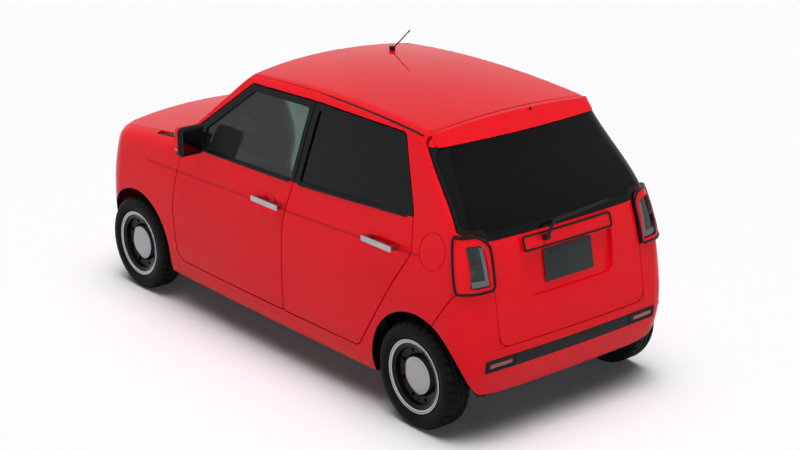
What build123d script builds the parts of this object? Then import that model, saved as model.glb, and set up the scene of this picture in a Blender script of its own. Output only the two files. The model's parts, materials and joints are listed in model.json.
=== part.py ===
"""A four-door kei car: a short bonnet, a tall rounded cabin and an upright tailgate.

Frame: millimetres, +Z up, the ground at Z = 0. The car's nose points along -Y, its left side is +X,
and the origin lies on the ground under the middle of the overall length and width. The car is
right-hand drive. The body is one closed form, lofted upwards through rounded plan outlines and capped
by a barrel-shaped roof and bonnet. Each panel is a layer of that form, cut to its own outline.
"""

import math
import os

from build123d import *

# Driving dimensions of the whole car
LENGTH = 3395.0
WIDTH = 1475.0
HEIGHT = 1545.0
WHEELBASE = 2520.0
TRACK = 1310.0
FRONT_OVERHANG = 475.0
NOSE = -LENGTH / 2
TAIL = LENGTH / 2
FRONT_AXLE = NOSE + FRONT_OVERHANG
REAR_AXLE = FRONT_AXLE + WHEELBASE

# Tyres 155/65R14 on 5-inch steel wheels
TYRE_RADIUS = 278.5
TYRE_WIDTH = 155.0
RIM_RADIUS = 192.0
RIM_WIDTH = 140.0
BEAD_RADIUS = 174.0
CAP_RADIUS = 98.0
ARCH_RADIUS = 331.0
WHEEL_X = TRACK / 2

# Gaps and wall thicknesses
SEAT_GAP = 0.3
DOOR_GAP = 7.0
PANEL_GAP = 4.0
SKIN = 18.0
DOOR_WALL = 55.0
SASH_WALL = 30.0
PILLAR_START = SEAT_GAP
PILLAR_WALL = 44.0
PILLAR_TOP_WALL = 34.0
GATE_WALL = 42.0
GLASS = 5.0

# Heights and lengths that the panels share
SILL_BOTTOM = 195.0
BUMPER_BOTTOM = 236.0  # lower edge of the rear bumper
DOOR_BOTTOM = 303.0
FLOOR_TOP = 300.0
FLOOR_PLATE = 40.0
BELT_FRONT = 1012.0
BELT_REAR = 1072.0
SASH_TOP = 1437.0
BONNET_HALF = 605.0
BONNET_LIP = 872.0
BONNET_REAR = -945.0
FASCIA_SEAM = -1492.0
ROOF_HALF = 545.0
ROOF_REAR = 1188.0
ROOF_ROUND = 70.0
BONNET_ROUND = 110.0
ROOF_CROWN = 4500.0
ROOF_SWEEP = 7000.0
BONNET_CROWN = 5000.0
SCREEN_RAKE = 37.5
SCREEN_FOOT = -925.0
SCREEN_FOOT_Z = 1030.0
SIDE_BOW = 26.0

# One row for each plan outline of the body, from the sills to above the roof:
# (height, nose setback, tail setback, side tuck, nose bow, tail bow, nose radius, tail radius)
STATIONS = [
    (170.0, 68.0, 72.0, 47.5, 110.0, 20.0, 230.0, 120.0),
    (330.0, 10.5, 24.0, 7.5, 110.0, 22.0, 240.0, 140.0),
    (540.0, 2.5, 6.0, 0.0, 110.0, 25.0, 250.0, 150.0),
    (800.0, 32.0, 49.0, 11.5, 110.0, 30.0, 250.0, 130.0),
    (1030.0, 97.0, 117.0, 55.5, 110.0, 34.0, 230.0, 110.0),
    (1250.0, 197.0, 292.0, 107.5, 110.0, 36.0, 200.0, 95.0),
    (1420.0, 257.0, 432.5, 149.5, 110.0, 37.0, 180.0, 88.0),
    (1560.0, 297.0, 551.0, 202.5, 110.0, 38.0, 170.0, 80.0),
]
WAIST = 950.0  # stations above this height take the upper wall


def as_edge(shape):
    return shape.edge() if not isinstance(shape, Edge) else shape


def arc(a, b, c):
    return as_edge(ThreePointArc(a, b, c))


def line(a, b):
    return Edge.make_line(a, b)


def block(x0, x1, y0, y1, z0, z1):
    return Pos((x0 + x1) / 2, (y0 + y1) / 2, (z0 + z1) / 2) * Box(x1 - x0, y1 - y0, z1 - z0)


def cylinder(radius, start, direction, length):
    plane = Plane(origin=start, z_dir=direction)
    return Solid.make_cylinder(radius, length, plane)


def plan_outline(station, inset):
    """One rounded plan outline of the body, drawn in by a wall."""
    z, nose_in, tail_in, tuck, nose_bow, tail_bow, nose_round, tail_round = station
    front, rear = NOSE + nose_in + inset, TAIL - tail_in - inset
    half = WIDTH / 2 - tuck - inset
    corner, middle = half - SIDE_BOW, (front + rear) / 2
    f_y, r_y = front + nose_bow, rear - tail_bow
    wire = Wire([
        arc((-corner, f_y, z), (0, front, z), (corner, f_y, z)),
        arc((corner, f_y, z), (half, middle, z), (corner, r_y, z)),
        arc((corner, r_y, z), (0, rear, z), (-corner, r_y, z)),
        arc((-corner, r_y, z), (-half, middle, z), (-corner, f_y, z)),
    ])
    wire = wire.fillet_2d(max(nose_round - inset, 40), wire.vertices().sort_by(Axis.Y)[:2])
    tail = [v for v in wire.vertices() if abs(v.Y - r_y) < 0.5 and abs(abs(v.X) - corner) < 0.5]
    return wire.fillet_2d(max(tail_round - inset, 40), tail)


def barrel(points, crown, drop):
    """The space under a skin that is curved both ways: an arc through three (y, z) points, turned
    about a low axis along Y."""
    a, b, c = [(0, y, z - drop) for y, z in points]
    axis_z = max(z for _, z in points) - crown
    low = axis_z + 100
    profile = Face(Wire([
        arc(a, b, c),
        line(c, (0, c[1], low)),
        line((0, c[1], low), (0, a[1], low)),
        line((0, a[1], low), a),
    ]))
    axis = Axis((0, 0, axis_z), (0, 1, 0))
    return Solid.revolve(profile.rotate(axis, -14), 28, axis)


def screen_wedge(inset):
    """Everything ahead of the windscreen: its bowed foot, pushed up along the rake."""
    rake = math.radians(SCREEN_RAKE)
    z = 900.0
    foot = SCREEN_FOOT - (SCREEN_FOOT_Z - z) / math.tan(rake) + inset / math.sin(rake)
    side, bow, far = 900.0, 270.0, -3500.0
    face = Face(Wire([
        arc((-side, foot + bow, z), (0, foot, z), (side, foot + bow, z)),
        line((side, foot + bow, z), (side, far, z)),
        line((side, far, z), (-side, far, z)),
        line((-side, far, z), (-side, foot + bow, z)),
    ]))
    return Solid.extrude(face, Vector(0, math.cos(rake), math.sin(rake)) * 1300)


def rounded(solid, radius, chosen):
    return solid.fillet(radius, [e for e in solid.edges() if chosen(e.center())])


TUBS = {}


def tub(wall):
    """The lofted body with no roof, bonnet or screen cut, drawn in by a wall. Each is made once."""
    if wall not in TUBS:
        TUBS[wall] = Solid.make_loft([plan_outline(s, wall) for s in STATIONS])
    return TUBS[wall]


def under_roof(drop):
    sag = [(y, HEIGHT - (y - 450.0) ** 2 / (2 * ROOF_SWEEP)) for y in (-2300.0, 450.0, 2300.0)]
    return barrel(sag, ROOF_CROWN, drop)


def under_bonnet(drop):
    return barrel([(-2400.0, 830.0), (-1386.0, 983.0), (-500.0, 1078.0)], BONNET_CROWN, drop)


def body_form(wall):
    """The whole closed body, drawn in by a wall: tub under roof, less the notch ahead of the screen."""
    cabin = (tub(wall) & under_roof(wall)).solid()
    cabin = rounded(cabin, ROOF_ROUND - wall, lambda c: c.Z > 1380 - wall)
    form = (cabin - (screen_wedge(wall) - under_bonnet(wall))).solid()
    return rounded(form, BONNET_ROUND - wall, lambda c: c.Y < -1000 and c.Z > 850 - wall)


def side_prism(points, rounds, grow=0.0, start=250.0, end=900.0):
    """A (y, z) outline with rounded corners, grown or shrunk, and pushed out along +X."""
    corners = [(start, y, z) for y, z in points]
    wire = Wire([line(a, b) for a, b in zip(corners, corners[1:] + corners[:1])])
    return prism(wire, points, rounds, grow, (1, 0, 0), end - start)


def rear_prism(points, rounds, grow=0.0, start=1000.0, end=1900.0):
    """An (x, z) outline, pushed along +Y."""
    corners = [(x, start, z) for x, z in points]
    wire = Wire([line(a, b) for a, b in zip(corners, corners[1:] + corners[:1])])
    return prism(wire, points, rounds, grow, (0, 1, 0), end - start)


def prism(wire, points, rounds, grow, way, length):
    for (u, v), radius in zip(points, rounds):
        if radius:
            at = min(wire.vertices(), key=lambda p: math.hypot((p.Y if way[0] else p.X) - u, p.Z - v))
            wire = wire.fillet_2d(radius, [at])
    if grow:
        wire = wire.offset_2d(grow, kind=Kind.INTERSECTION)
    return Solid.extrude(Face(wire), Vector(*way) * length)


# Panel outlines in side view: corners as (y, z), then the radius of each corner
FRONT_DOOR = [(-803, 303), (-832, 610), (-748, 1042), (-207, 1441), (338, 1458), (275, 1029), (225, 815),
              (225, 303)]
FRONT_DOOR_ROUNDS = [85, 400, 18, 30, 12, 200, 200, 25]
REAR_DOOR = [(225, 303), (225, 815), (275, 1029), (338, 1458), (1046, 1449), (1205, 1100), (1243, 908),
             (860, 303)]
REAR_DOOR_ROUNDS = [25, 200, 200, 12, 40, 150, 60, 60]
FRONT_WINDOW = [(-565, 1012), (-565, 1124), (-182, 1406), (298, 1419), (242, 1036)]
FRONT_WINDOW_ROUNDS = [12, 12, 40, 15, 15]
REAR_WINDOW = [(318, 1040), (378, 1421), (982, 1412), (1022, 1077)]
REAR_WINDOW_ROUNDS = [15, 15, 30, 15]

# Seen from behind: corners as (x, z), left half from the foot upwards
GATE_HALF = [(500, 497), (500, 780), (487, 1058), (624, 1060), (545, 1440), (512, 1500), (300, 1560)]
GATE_ROUNDS = [60, 30, 80, 12, 40, 20, 0]
GATE_GLASS_HALF = [(468, 1010), (492, 1072), (604, 1076), (537, 1406)]
GATE_GLASS_ROUNDS = [20, 40, 25, 60]
LAMP = [(504, 786), (760, 790), (760, 1053), (492, 1053)]
LAMP_ROUNDS = [20, 0, 0, 75]
LAMP_LENS = [(530, 812), (640, 816), (622, 1012), (534, 1010)]
LAMP_LENS_ROUNDS = [8, 8, 8, 36]
PLATE_RECESS = [(-288, 704), (288, 704), (312, 926), (-312, 926)]
PLATE_RECESS_ROUNDS = [45, 45, 12, 12]
PLATE_RECESS_DEPTH = 20.0
GARNISH = [(-305, 928), (305, 928), (305, 1004), (-305, 1004)]
GARNISH_ROUNDS = [8, 8, 14, 14]
GARNISH_PROUD = 17.0
LAMP_PROUD = 14.0
STRIP_PROUD = 2.46
LIP_PROUD = 13.0
LIP_FOOT = 1412.0


def half_mirrored(points, rounds):
    """A closed outline from its right-hand half."""
    left = [(-u, v) for u, v in reversed(points)]
    return points + left, rounds + list(reversed(rounds))


def one(shape):
    """The largest solid of a cut, so that no sliver is left beside a panel."""
    return max(shape.solids(), key=lambda s: s.volume)


def mirrored(shape):
    return shape.mirror(Plane.YZ)


def both_sides(shape):
    return Compound(children=[s for half in (shape, mirrored(shape)) for s in half.solids()])


def wheel_well(axle, radius, start, end):
    return cylinder(radius, (start, axle, TYRE_RADIUS), (1, 0, 0), end - start)


SHELL = body_form(0.0)
INNER = body_form(SKIN)
DOOR_FLOOR = tub(DOOR_WALL)
SASH_FLOOR = tub(SASH_WALL) & block(-900, 900, -2000, 2000, 1000, 1560)
ARCHES = [wheel_well(axle, ARCH_RADIUS, 420.0, 900.0) for axle in (FRONT_AXLE, REAR_AXLE)]


def door(outline, rounds, window, window_rounds, handle_y, handle_z):
    """A left-hand door: one wall as deep as the whole door, thinner round the glass."""
    panel = SHELL & side_prism(outline, rounds, -DOOR_GAP / 2)
    panel = one(panel - DOOR_FLOOR - SASH_FLOOR)
    panel = panel - side_prism(window, window_rounds)
    slot = side_prism(window, window_rounds, 8 + SEAT_GAP) & tub(10 - SEAT_GAP)
    panel = panel - (slot - tub(10 + GLASS + SEAT_GAP))
    skin_x = WIDTH / 2 - 22
    return one(panel - Pos(skin_x + 80, handle_y, handle_z) * Sphere(100))


def door_glass(window, window_rounds):
    pane = side_prism(window, window_rounds, 8) & tub(10)
    return one(pane - tub(10 + GLASS))


def door_handle(y, z):
    """A grab bar that stands off the skin on two feet."""
    skin_x = WIDTH / 2 - 21
    bar = Pos(skin_x + 34, y, z) * Box(16, 236, 32)
    bar = rounded(bar.solid(), 7.5, lambda c: True)
    feet = [Pos(skin_x - 2, y + side * 96, z) * Box(72, 30, 20) for side in (-1, 1)]
    return one((bar + feet[0] + feet[1]) - tub(-SEAT_GAP))


def mirror_unit():
    """A mirror head on a stalk that grows out of the door's front corner."""
    head = Pos(785, -545, 1085) * Box(165, 85, 170)
    head = rounded(head.solid(), 32, lambda c: True)
    dish = Pos(788, -500, 1085) * Box(135, 30, 130)
    head = head - rounded(dish.solid(), 12, lambda c: True)
    stalk = Pos(700, -560, 1035) * Box(90, 60, 34)
    foot = side_prism([(-700, 1022), (-640, 1100), (-575, 1100), (-575, 1022)], [10, 10, 8, 8], 0, 640, 700)
    return one((head + stalk + foot) - tub(-SEAT_GAP))


def side_frame():
    """A-pillar, sill, centre pillar, roof rail and rear quarter with its wheelhouse, in one wall."""
    region = side_prism([(-905, SILL_BOTTOM), (-905, 1100), (-300, 1560), (1700, 1560), (1700, SILL_BOTTOM)],
                        [0] * 5, 0, 300)
    wall = (SHELL & region) - (tub(DOOR_WALL + PILLAR_START + PILLAR_WALL) & block(0, 900, -2e3, 2e3, 100, 1030))
    wall = wall - (tub(SASH_WALL + PILLAR_START + PILLAR_TOP_WALL) & block(0, 900, -2e3, 2e3, 1030, 1600))
    # the doors grow thinner at 1000, and swing clear under the frame's own step
    low = tub(DOOR_WALL + PILLAR_START) & block(0, 900, -2e3, 2e3, 100, 1006)
    high = tub(SASH_WALL + PILLAR_START) & block(0, 900, -2e3, 2e3, 1006, 1600)
    for outline, rounds in ((FRONT_DOOR, FRONT_DOOR_ROUNDS), (REAR_DOOR, REAR_DOOR_ROUNDS)):
        wall = wall - (side_prism(outline, rounds, DOOR_GAP / 2) - low - high)
        wall = wall - side_prism(outline, [max(r - 45, 12) for r in rounds], -45)
    wall = wall - ARCHES[1] - ARCHES[0]
    wall = wall - block(0, 900, -2000, FRONT_AXLE + 200, 0, 1100)
    # the fender laps over the hinge pillar
    wall = wall - (fender_region(PANEL_GAP) - tub(SKIN + SEAT_GAP))
    wall = wall - (block(0, ROOF_HALF + PANEL_GAP, -2000, 1700, 1300, 1600) - under_roof(SKIN + SEAT_GAP))
    gate = half_mirrored(GATE_HALF, GATE_ROUNDS)
    seat = tub(GATE_WALL + SEAT_GAP) & under_roof(GATE_WALL + SEAT_GAP)
    wall = wall - (rear_prism(*gate, 5.0, 1180) - seat)
    wall = wall - rear_prism(*half_mirrored(GATE_HALF, [20] * 6 + [0]), -35.0, 1180)
    wall = wall - lamp_region(0.8) - bumper_region(PANEL_GAP)
    wall = wall - (glass_screen(44.0 - SEAT_GAP, GLASS + SEAT_GAP))
    wall = wall - (block(0, 646, -2000, -780, 930, 1120) & screen_wedge(8))
    wall = wall - block(0, 480 + PANEL_GAP, 900, 1700, 1300, 1600)
    return one(wall)


def fender_region(grow):
    outline = [(FASCIA_SEAM, 150), (FASCIA_SEAM, 1100), (-832, 1100), (-832, 986), (-766, 955), (-836, 610),
               (-798, 150)]
    return side_prism(outline, [0] * 7, grow, 300)


def bumper_region(grow):
    """Everything behind the seam that runs from the wheel arch up to the foot of the tail lamp."""
    outline = [(1426, 150), (1426, 588), (1568, 786), (1800, 786), (1800, 150)]
    low = side_prism(outline, [0] * 5, grow, 504 - grow)
    return low + block(-510, 510, 1500 - grow, 1800, 150, 493 + grow / 2)


def glass_screen(side_in, depth):
    """The windscreen layer: behind the rake, inside the pillars and the roof's front edge."""
    pane = (tub(side_in) & under_roof(22.0 if depth > GLASS else 23.0)).solid()
    return (pane & screen_wedge(depth)) - screen_wedge(0) - block(-900, 900, -2000, 0, 0, 940)


def wheelhouse():
    """The liner over a rear wheel, joined to the quarter panel."""
    ring = wheel_well(REAR_AXLE, ARCH_RADIUS + 14, 536, 700) - wheel_well(REAR_AXLE, ARCH_RADIUS, 550, 760)
    ring = ring & block(0, 900, 0, 3000, FLOOR_TOP, 900)
    return (ring & tub(SKIN + SEAT_GAP)) - cylinder(58, (500, REAR_AXLE, TYRE_RADIUS), (1, 0, 0), 80)


def rear_quarter_and_frame():
    return one(side_frame() + wheelhouse())


def roof_panel():
    """The roof skin with a header bow at the screen and one at the tailgate."""
    region = block(-ROOF_HALF, ROOF_HALF, -400, ROOF_REAR, 1350, 1600)
    skin = (SHELL & region) - under_roof(SKIN)
    bows = None
    for y0, y1 in ((-200, -120), (500, 560), (ROOF_REAR - 70, ROOF_REAR)):
        bow = (block(-480, 480, y0, y1, 1300, 1600) & under_roof(SKIN / 2)) - under_roof(SKIN + 24)
        bows = bow if bows is None else bows + bow
    return one(skin + bows)


def bonnet_region(grow):
    half, nose = BONNET_HALF + grow, -1720
    face = Polyline((-half, nose, 800), (half, nose, 800), (half, BONNET_REAR + grow + 60, 800),
                    (0, BONNET_REAR + grow - 60, 800), (-half, BONNET_REAR + grow + 60, 800), close=True)
    return Solid.extrude(Face(face.wire()), Vector(0, 0, 400)) - block(-900, 900, -2000, 0, 700, BONNET_LIP - grow)


def bonnet():
    return one((SHELL & bonnet_region(0)) - INNER)


def cowl():
    """The black tray between the bonnet and the foot of the windscreen."""
    outline = block(-640, 640, -1100, -700, 900, 1100) - bonnet_region(PANEL_GAP)
    tray = (SHELL & outline & screen_wedge(-SEAT_GAP)) - INNER
    return one(tray - block(-700, 700, -1200, BONNET_REAR - 60 + PANEL_GAP, 900, 1100))


def fender():
    """A front wing between bonnet, door and fascia, open over the wheel."""
    skin = (SHELL & fender_region(0)) - INNER - bonnet_region(PANEL_GAP)
    skin = skin - (tub(SKIN) & block(0, 900, -905, 0, 0, 1100))
    skin = skin - block(0, 641 + PANEL_GAP, -1100, -700, 900, 1100)
    skin = skin - wheel_well(FRONT_AXLE, ARCH_RADIUS, 420, 900)
    skin = skin - side_prism(FRONT_DOOR, FRONT_DOOR_ROUNDS, DOOR_GAP / 2)
    return one(skin - block(0, 900, -1100, 0, 0, SILL_BOTTOM))


def front_bumper():
    """The nose fascia, with the headlamp and grille openings and a lower air intake."""
    region = block(-900, 900, -1800, FASCIA_SEAM - PANEL_GAP, 185, 1000)
    skin = ((SHELL & region) - INNER) - bonnet_region(PANEL_GAP)
    for x in (-1, 1):
        skin = skin - front_prism(x * LAMP_X, LAMP_Z, LAMP_R)
    skin = skin - front_slot(GRILLE) - front_slot(INTAKE)
    beam = block(-380, 380, -1690, -1604 - SEAT_GAP, 490, 590) & tub(SKIN / 2)
    skin = one(skin + beam)
    skin = skin - ARCHES[0] - mirrored(ARCHES[0])
    pad = block(-PAD_HALF, PAD_HALF, NOSE, NOSE + SKIN, PAD_Z - 55, PAD_Z + 55)
    for x in (-PLATE_HOLES / 2, PLATE_HOLES / 2):
        pad = pad - cylinder(PLATE_HOLE_R, (x, NOSE - 1, PAD_Z), (0, 1, 0), 60)
        skin = skin - cylinder(PLATE_HOLE_R, (x, NOSE - 1, PAD_Z), (0, 1, 0), 60)
    return one(skin + pad)


# the flat pad that takes the front number plate: half width, height, hole pitch and hole radius
PAD_HALF, PAD_Z, PLATE_HOLES, PLATE_HOLE_R = 170.0, 535.0, 210.0, 3.0
LAMP_X, LAMP_Z, LAMP_R = 520.0, 740.0, 108.0
# half width, low, high, corner radius
GRILLE = (330.0, 700.0, 790.0, 30.0)
INTAKE = (420.0, 300.0, 440.0, 40.0)


def front_prism(x, z, radius):
    return cylinder(radius, (x, -1900, z), (0, 1, 0), 500)


def front_slot(slot, grow=0.0, start=-1900.0, end=-1400.0):
    half, low, high, radius = slot
    solid = block(-half - grow, half + grow, start, end, low - grow, high + grow)
    edges = [e for e in solid.edges() if abs(e.center().X) > half - 1 and abs(e.center().Y - (start + end) / 2) < 1]
    return solid.fillet(radius + grow, edges)


def headlamps():
    """Round lamp bodies: a domed lens on a shallow bowl, seated in the fascia."""
    lamp = (SHELL & front_prism(LAMP_X, LAMP_Z, LAMP_R - 0.4)) - tub(70)
    return both_sides(one(lamp))


def grille():
    """Upper bars and the lower intake's mesh frame, seated behind the fascia."""
    backing = tub(SKIN + SEAT_GAP)
    bars = (backing & front_slot(GRILLE, 20)) - tub(SKIN + 14)
    for z in (718, 745, 772):
        bars = bars - (block(-GRILLE[0] + 12, GRILLE[0] - 12, -1800, -1400, z - 8, z + 8))
    mesh = (backing & front_slot(INTAKE, 20)) - tub(SKIN + 14)
    for z in range(320, 430, 28):
        mesh = mesh - block(-INTAKE[0] + 14, INTAKE[0] - 14, -1800, -1400, z - 7, z + 7)
    return Compound(children=[one(bars), one(mesh)])


def tailgate():
    """The whole tailgate with its roof lip, the rear window's frame and the plate's recess."""
    region = rear_prism(*half_mirrored(GATE_HALF, GATE_ROUNDS), 0.0, 1196)
    gate = (SHELL & region) - (tub(GATE_WALL) & under_roof(GATE_WALL))
    # nothing of the gate's sides reaches forward along the pillars
    fins = side_prism([(1100, 900), (1100, 1440), (1165, 1420), (1300, 1250), (1475, 1030), (1475, 900)], [0] * 6)
    fins = fins & block(530, 900, 1000, 1700, 800, 1600)
    gate = one(gate - fins - mirrored(fins))
    glass = rear_prism(*half_mirrored(GATE_GLASS_HALF, GATE_GLASS_ROUNDS), 2.0, 1196)
    gate = gate - ((SHELL & glass) - tub(GLASS + SEAT_GAP))
    gate = gate - rear_prism(*half_mirrored(GATE_GLASS_HALF, GATE_GLASS_ROUNDS), -42.0, 1196)
    recess = SHELL & rear_prism(PLATE_RECESS, PLATE_RECESS_ROUNDS, 0, 1400)
    gate = gate - (recess - tub(PLATE_RECESS_DEPTH))
    lip = (tub(-LIP_PROUD) & under_roof(0)) & block(-528, 528, ROOF_REAR + 8, 1500, LIP_FOOT, 1600)
    return one(gate + (lip - tub(GATE_WALL / 2)))


def gate_garnish():
    """The raised bar above the number plate, which hides the gate's release."""
    return one((tub(-GARNISH_PROUD) & rear_prism(GARNISH, GARNISH_ROUNDS, 0, 1400)) - tub(-SEAT_GAP))


def tailgate_glass():
    region = rear_prism(*half_mirrored(GATE_GLASS_HALF, GATE_GLASS_ROUNDS), 0.0, 1196)
    return one((SHELL & region) - tub(GLASS))


def lamp_region(grow):
    """The tail lamp's outline from behind, ended on the side by a leaning line."""
    ahead = side_prism([(1300, 700), (1300, 1100), (1478, 1100), (1576, 760), (1576, 700)], [0] * 5, -grow, 300)
    return rear_prism(LAMP, LAMP_ROUNDS, grow, 1430) - ahead


def tail_lamps():
    block_lamp = (tub(-LAMP_PROUD) & lamp_region(0)) - tub(62)
    well = (tub(-LAMP_PROUD - 5) & rear_prism(LAMP_LENS, LAMP_LENS_ROUNDS, 0, 1430)) - tub(2)
    return both_sides(one(block_lamp - well))


def rear_bumper():
    region = bumper_region(0) + mirrored(bumper_region(0))
    skin = (SHELL & region) - INNER
    strip = strip_region(0.5)
    skin = skin - (strip - tub(SKIN / 2))
    skin = skin + (block(-450, 450, 1630 + SEAT_GAP, 1690, 340, 480) & tub(SKIN - 2))
    well = wheel_well(REAR_AXLE, ARCH_RADIUS, 560, 900)
    return one(skin - well - mirrored(well) - block(-900, 900, 1400, 1800, 0, BUMPER_BOTTOM))


def strip_region(grow):
    return rear_prism([(-590, 378), (590, 378), (590, 445), (-590, 445)], [12] * 4, grow, 1450)


def rear_bumper_strip():
    """The dark rubbing strip across the bumper, which holds the reflectors and sensors."""
    return one((tub(-STRIP_PROUD) & strip_region(0)) - tub(SKIN / 2 - SEAT_GAP))


def fuel_lid():
    disc = cylinder(88, (600, 1381, 951), (1, 0, 0), 200)
    return one((SHELL & disc) - tub(8))


def revolved(profile, x, axle):
    """A (x, radius) profile turned about the axle line of a wheel."""
    points = [(x + u, axle, TYRE_RADIUS + r) for u, r in profile]
    wire = Wire([line(a, b) for a, b in zip(points, points[1:] + points[:1])])
    return Solid.revolve(Face(wire), 360, Axis((0, axle, TYRE_RADIUS), (1, 0, 0)))


# (offset from the wheel's middle outwards, radius)
TYRE_PROFILE = [(-62.6, BEAD_RADIUS + 0.3), (-62.6, 193), (-71, 203), (-77.5, 232), (-74, 258), (-62, 272), (-48, TYRE_RADIUS),
                (48, TYRE_RADIUS), (62, 272), (74, 258), (77.5, 232), (71, 203), (62.6, 193),
                (62.6, BEAD_RADIUS + 0.3)]
WHEEL_PROFILE = [(-70, RIM_RADIUS), (-63, RIM_RADIUS), (-63, BEAD_RADIUS), (-40, BEAD_RADIUS), (-30, 160),
                 (20, 160), (34, BEAD_RADIUS), (63, BEAD_RADIUS), (63, RIM_RADIUS), (70, RIM_RADIUS),
                 (70, 184), (58, 152), (36, 146), (28, 112), (46, CAP_RADIUS), (52, 80), (54, 30), (54, 0),
                 (18, 0), (18, 70), (24, 104), (20, 150), (-32, 150), (-44, 166), (-70, 168)]


def tyre(x, axle):
    return revolved(TYRE_PROFILE, x, axle)


def wheel(x, axle):
    disc = revolved(WHEEL_PROFILE, x, axle)
    for k in range(8):
        a = math.radians(22.5 + 45 * k)
        hole = (x - 30, axle + 129 * math.cos(a), TYRE_RADIUS + 129 * math.sin(a))
        disc = disc - cylinder(11, hole, (1, 0, 0), 120)
    return one(disc)


KINGPIN_FOOT = Vector(600, FRONT_AXLE, 180)
KINGPIN_TOP = Vector(500, FRONT_AXLE, 760)


def kingpin_at(z):
    t = (z - KINGPIN_FOOT.Z) / (KINGPIN_TOP.Z - KINGPIN_FOOT.Z)
    return KINGPIN_FOOT + (KINGPIN_TOP - KINGPIN_FOOT) * t


def rod(a, b, radius):
    a, b = Vector(*a), Vector(*b)
    return cylinder(radius, a, b - a, (b - a).length)


def knuckle():
    """The hub carrier: a hub for the wheel, a lower ball seat and a clamp for the strut."""
    hub = rod((WHEEL_X - 30, FRONT_AXLE, TYRE_RADIUS), (WHEEL_X + 17.7, FRONT_AXLE, TYRE_RADIUS), 48)
    carrier = rod((WHEEL_X - 92, FRONT_AXLE, TYRE_RADIUS), (WHEEL_X - 26, FRONT_AXLE, TYRE_RADIUS), 62)
    post = rod(kingpin_at(204), kingpin_at(260), 20) + rod(kingpin_at(250), kingpin_at(420), 30)
    disc = rod((WHEEL_X - 24, FRONT_AXLE, TYRE_RADIUS), (WHEEL_X - 12, FRONT_AXLE, TYRE_RADIUS), 120)
    arm = rod(kingpin_at(250), (535, FRONT_AXLE + 110, 250), 13)
    body = hub + carrier + post + disc + arm
    return one(body - rod(kingpin_at(380), kingpin_at(500), 22.3))


def front_struts():
    """Damper tubes with their coil springs as plain sleeves between two seats."""
    tube = rod(kingpin_at(380.5), kingpin_at(740), 22)
    spring = rod(kingpin_at(588), kingpin_at(730), 52)
    seats = rod(kingpin_at(580), kingpin_at(590), 62) + rod(kingpin_at(728), kingpin_at(744), 66)
    return both_sides(one(tube + spring + seats + rod(kingpin_at(740), kingpin_at(806), 30)))


def front_subframe():
    """A crossmember with a lower arm out to each ball seat."""
    shape = block(-400, 400, FRONT_AXLE - 40, FRONT_AXLE + 60, 190, 240)
    for x0, x1 in ((-400, -350), (350, 400)):
        shape = shape + block(x0, x1, FRONT_AXLE - 40, FRONT_AXLE + 60, 190, 330 - SEAT_GAP)
    for side in (1, -1):
        end = (side * 600, FRONT_AXLE, 180)
        arm = rod((side * 380, FRONT_AXLE, 205), end, 12)
        ball = Pos(*end) * Sphere(24)
        shape = shape + arm + ball
    return one(shape)


def rear_axle():
    """The twist beam with trailing arms, hub stubs and drums."""
    beam = rod((-500, REAR_AXLE, 262), (500, REAR_AXLE, 262), 34)
    shape = beam
    for side in (1, -1):
        arm = rod((side * 480, REAR_AXLE, 262), (side * 440, REAR_AXLE - 330, 300), 26)
        bush = rod((side * 410, REAR_AXLE - 330, 300), (side * 470, REAR_AXLE - 330, 300), 40)
        drum = rod((side * 572, REAR_AXLE, TYRE_RADIUS), (side * (WHEEL_X - 2), REAR_AXLE, TYRE_RADIUS), 100)
        stub = rod((side * 470, REAR_AXLE, TYRE_RADIUS), (side * (WHEEL_X + 17.7), REAR_AXLE, TYRE_RADIUS), 46)
        shape = shape + arm + bush + drum + stub
    return one(shape)


def rear_springs():
    spring = rod((400, REAR_AXLE, 296 + SEAT_GAP), (400, REAR_AXLE, 420 - SEAT_GAP), 50)
    return both_sides(spring)


def floor_pan():
    """The cabin floor, its step over the axle and the luggage floor, with two sill ledges."""
    low = block(-700, 700, -856 + SEAT_GAP, 900, FLOOR_TOP - FLOOR_PLATE, FLOOR_TOP)
    low = low & tub(DOOR_WALL + PILLAR_START + PILLAR_WALL + SEAT_GAP)
    step = block(-535.7, 535.7, 880, 920, FLOOR_TOP - FLOOR_PLATE, 460)
    high = block(-535.7, 535.7, 880, 1600, 420, 460) + block(-535.7, 535.7, 1600, 1630, 300, 490)
    shape = low + step + high
    for x0, x1 in ((-490, -470.3), (-409.7, -390), (390, 409.7), (470.3, 490)):
        shape = shape + block(x0, x1, REAR_AXLE - 360, REAR_AXLE - 300, 290, 430)
    return one(shape)


def front_structure():
    """The bulkhead, two rails, the strut towers and the radiator panel, welded into one frame."""
    wall = block(-700, 700, -884, -856, 262, 930) & tub(DOOR_WALL + PILLAR_START + PILLAR_WALL + SEAT_GAP)
    shape = wall + block(-400, 400, -1604, -1574, 250, 640)
    for side in (1, -1):
        rail = block(min(side * 345, side * 405), max(side * 345, side * 405), -1590, -860, 330, 420)
        tower = Pos(side * 504, FRONT_AXLE, 700) * Box(216, 190, 200)
        tower = tower - Pos(side * 504, FRONT_AXLE, 660) * Box(188, 160, 200)
        top, end = kingpin_at(700), kingpin_at(900)
        tower = tower - rod((side * top.X, top.Y, top.Z), (side * end.X, end.Y, end.Z), 30 + SEAT_GAP)
        apron = block(min(side * 395, side * 415), max(side * 395, side * 415), -1400, -860, 330, 790)
        shape = shape + rail + tower + apron
    catch = block(-60, 60, -1604, -1574, 600, 1000) & (Pos(0, 0, -SEAT_GAP) * INNER)
    return one(shape + catch)


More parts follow.
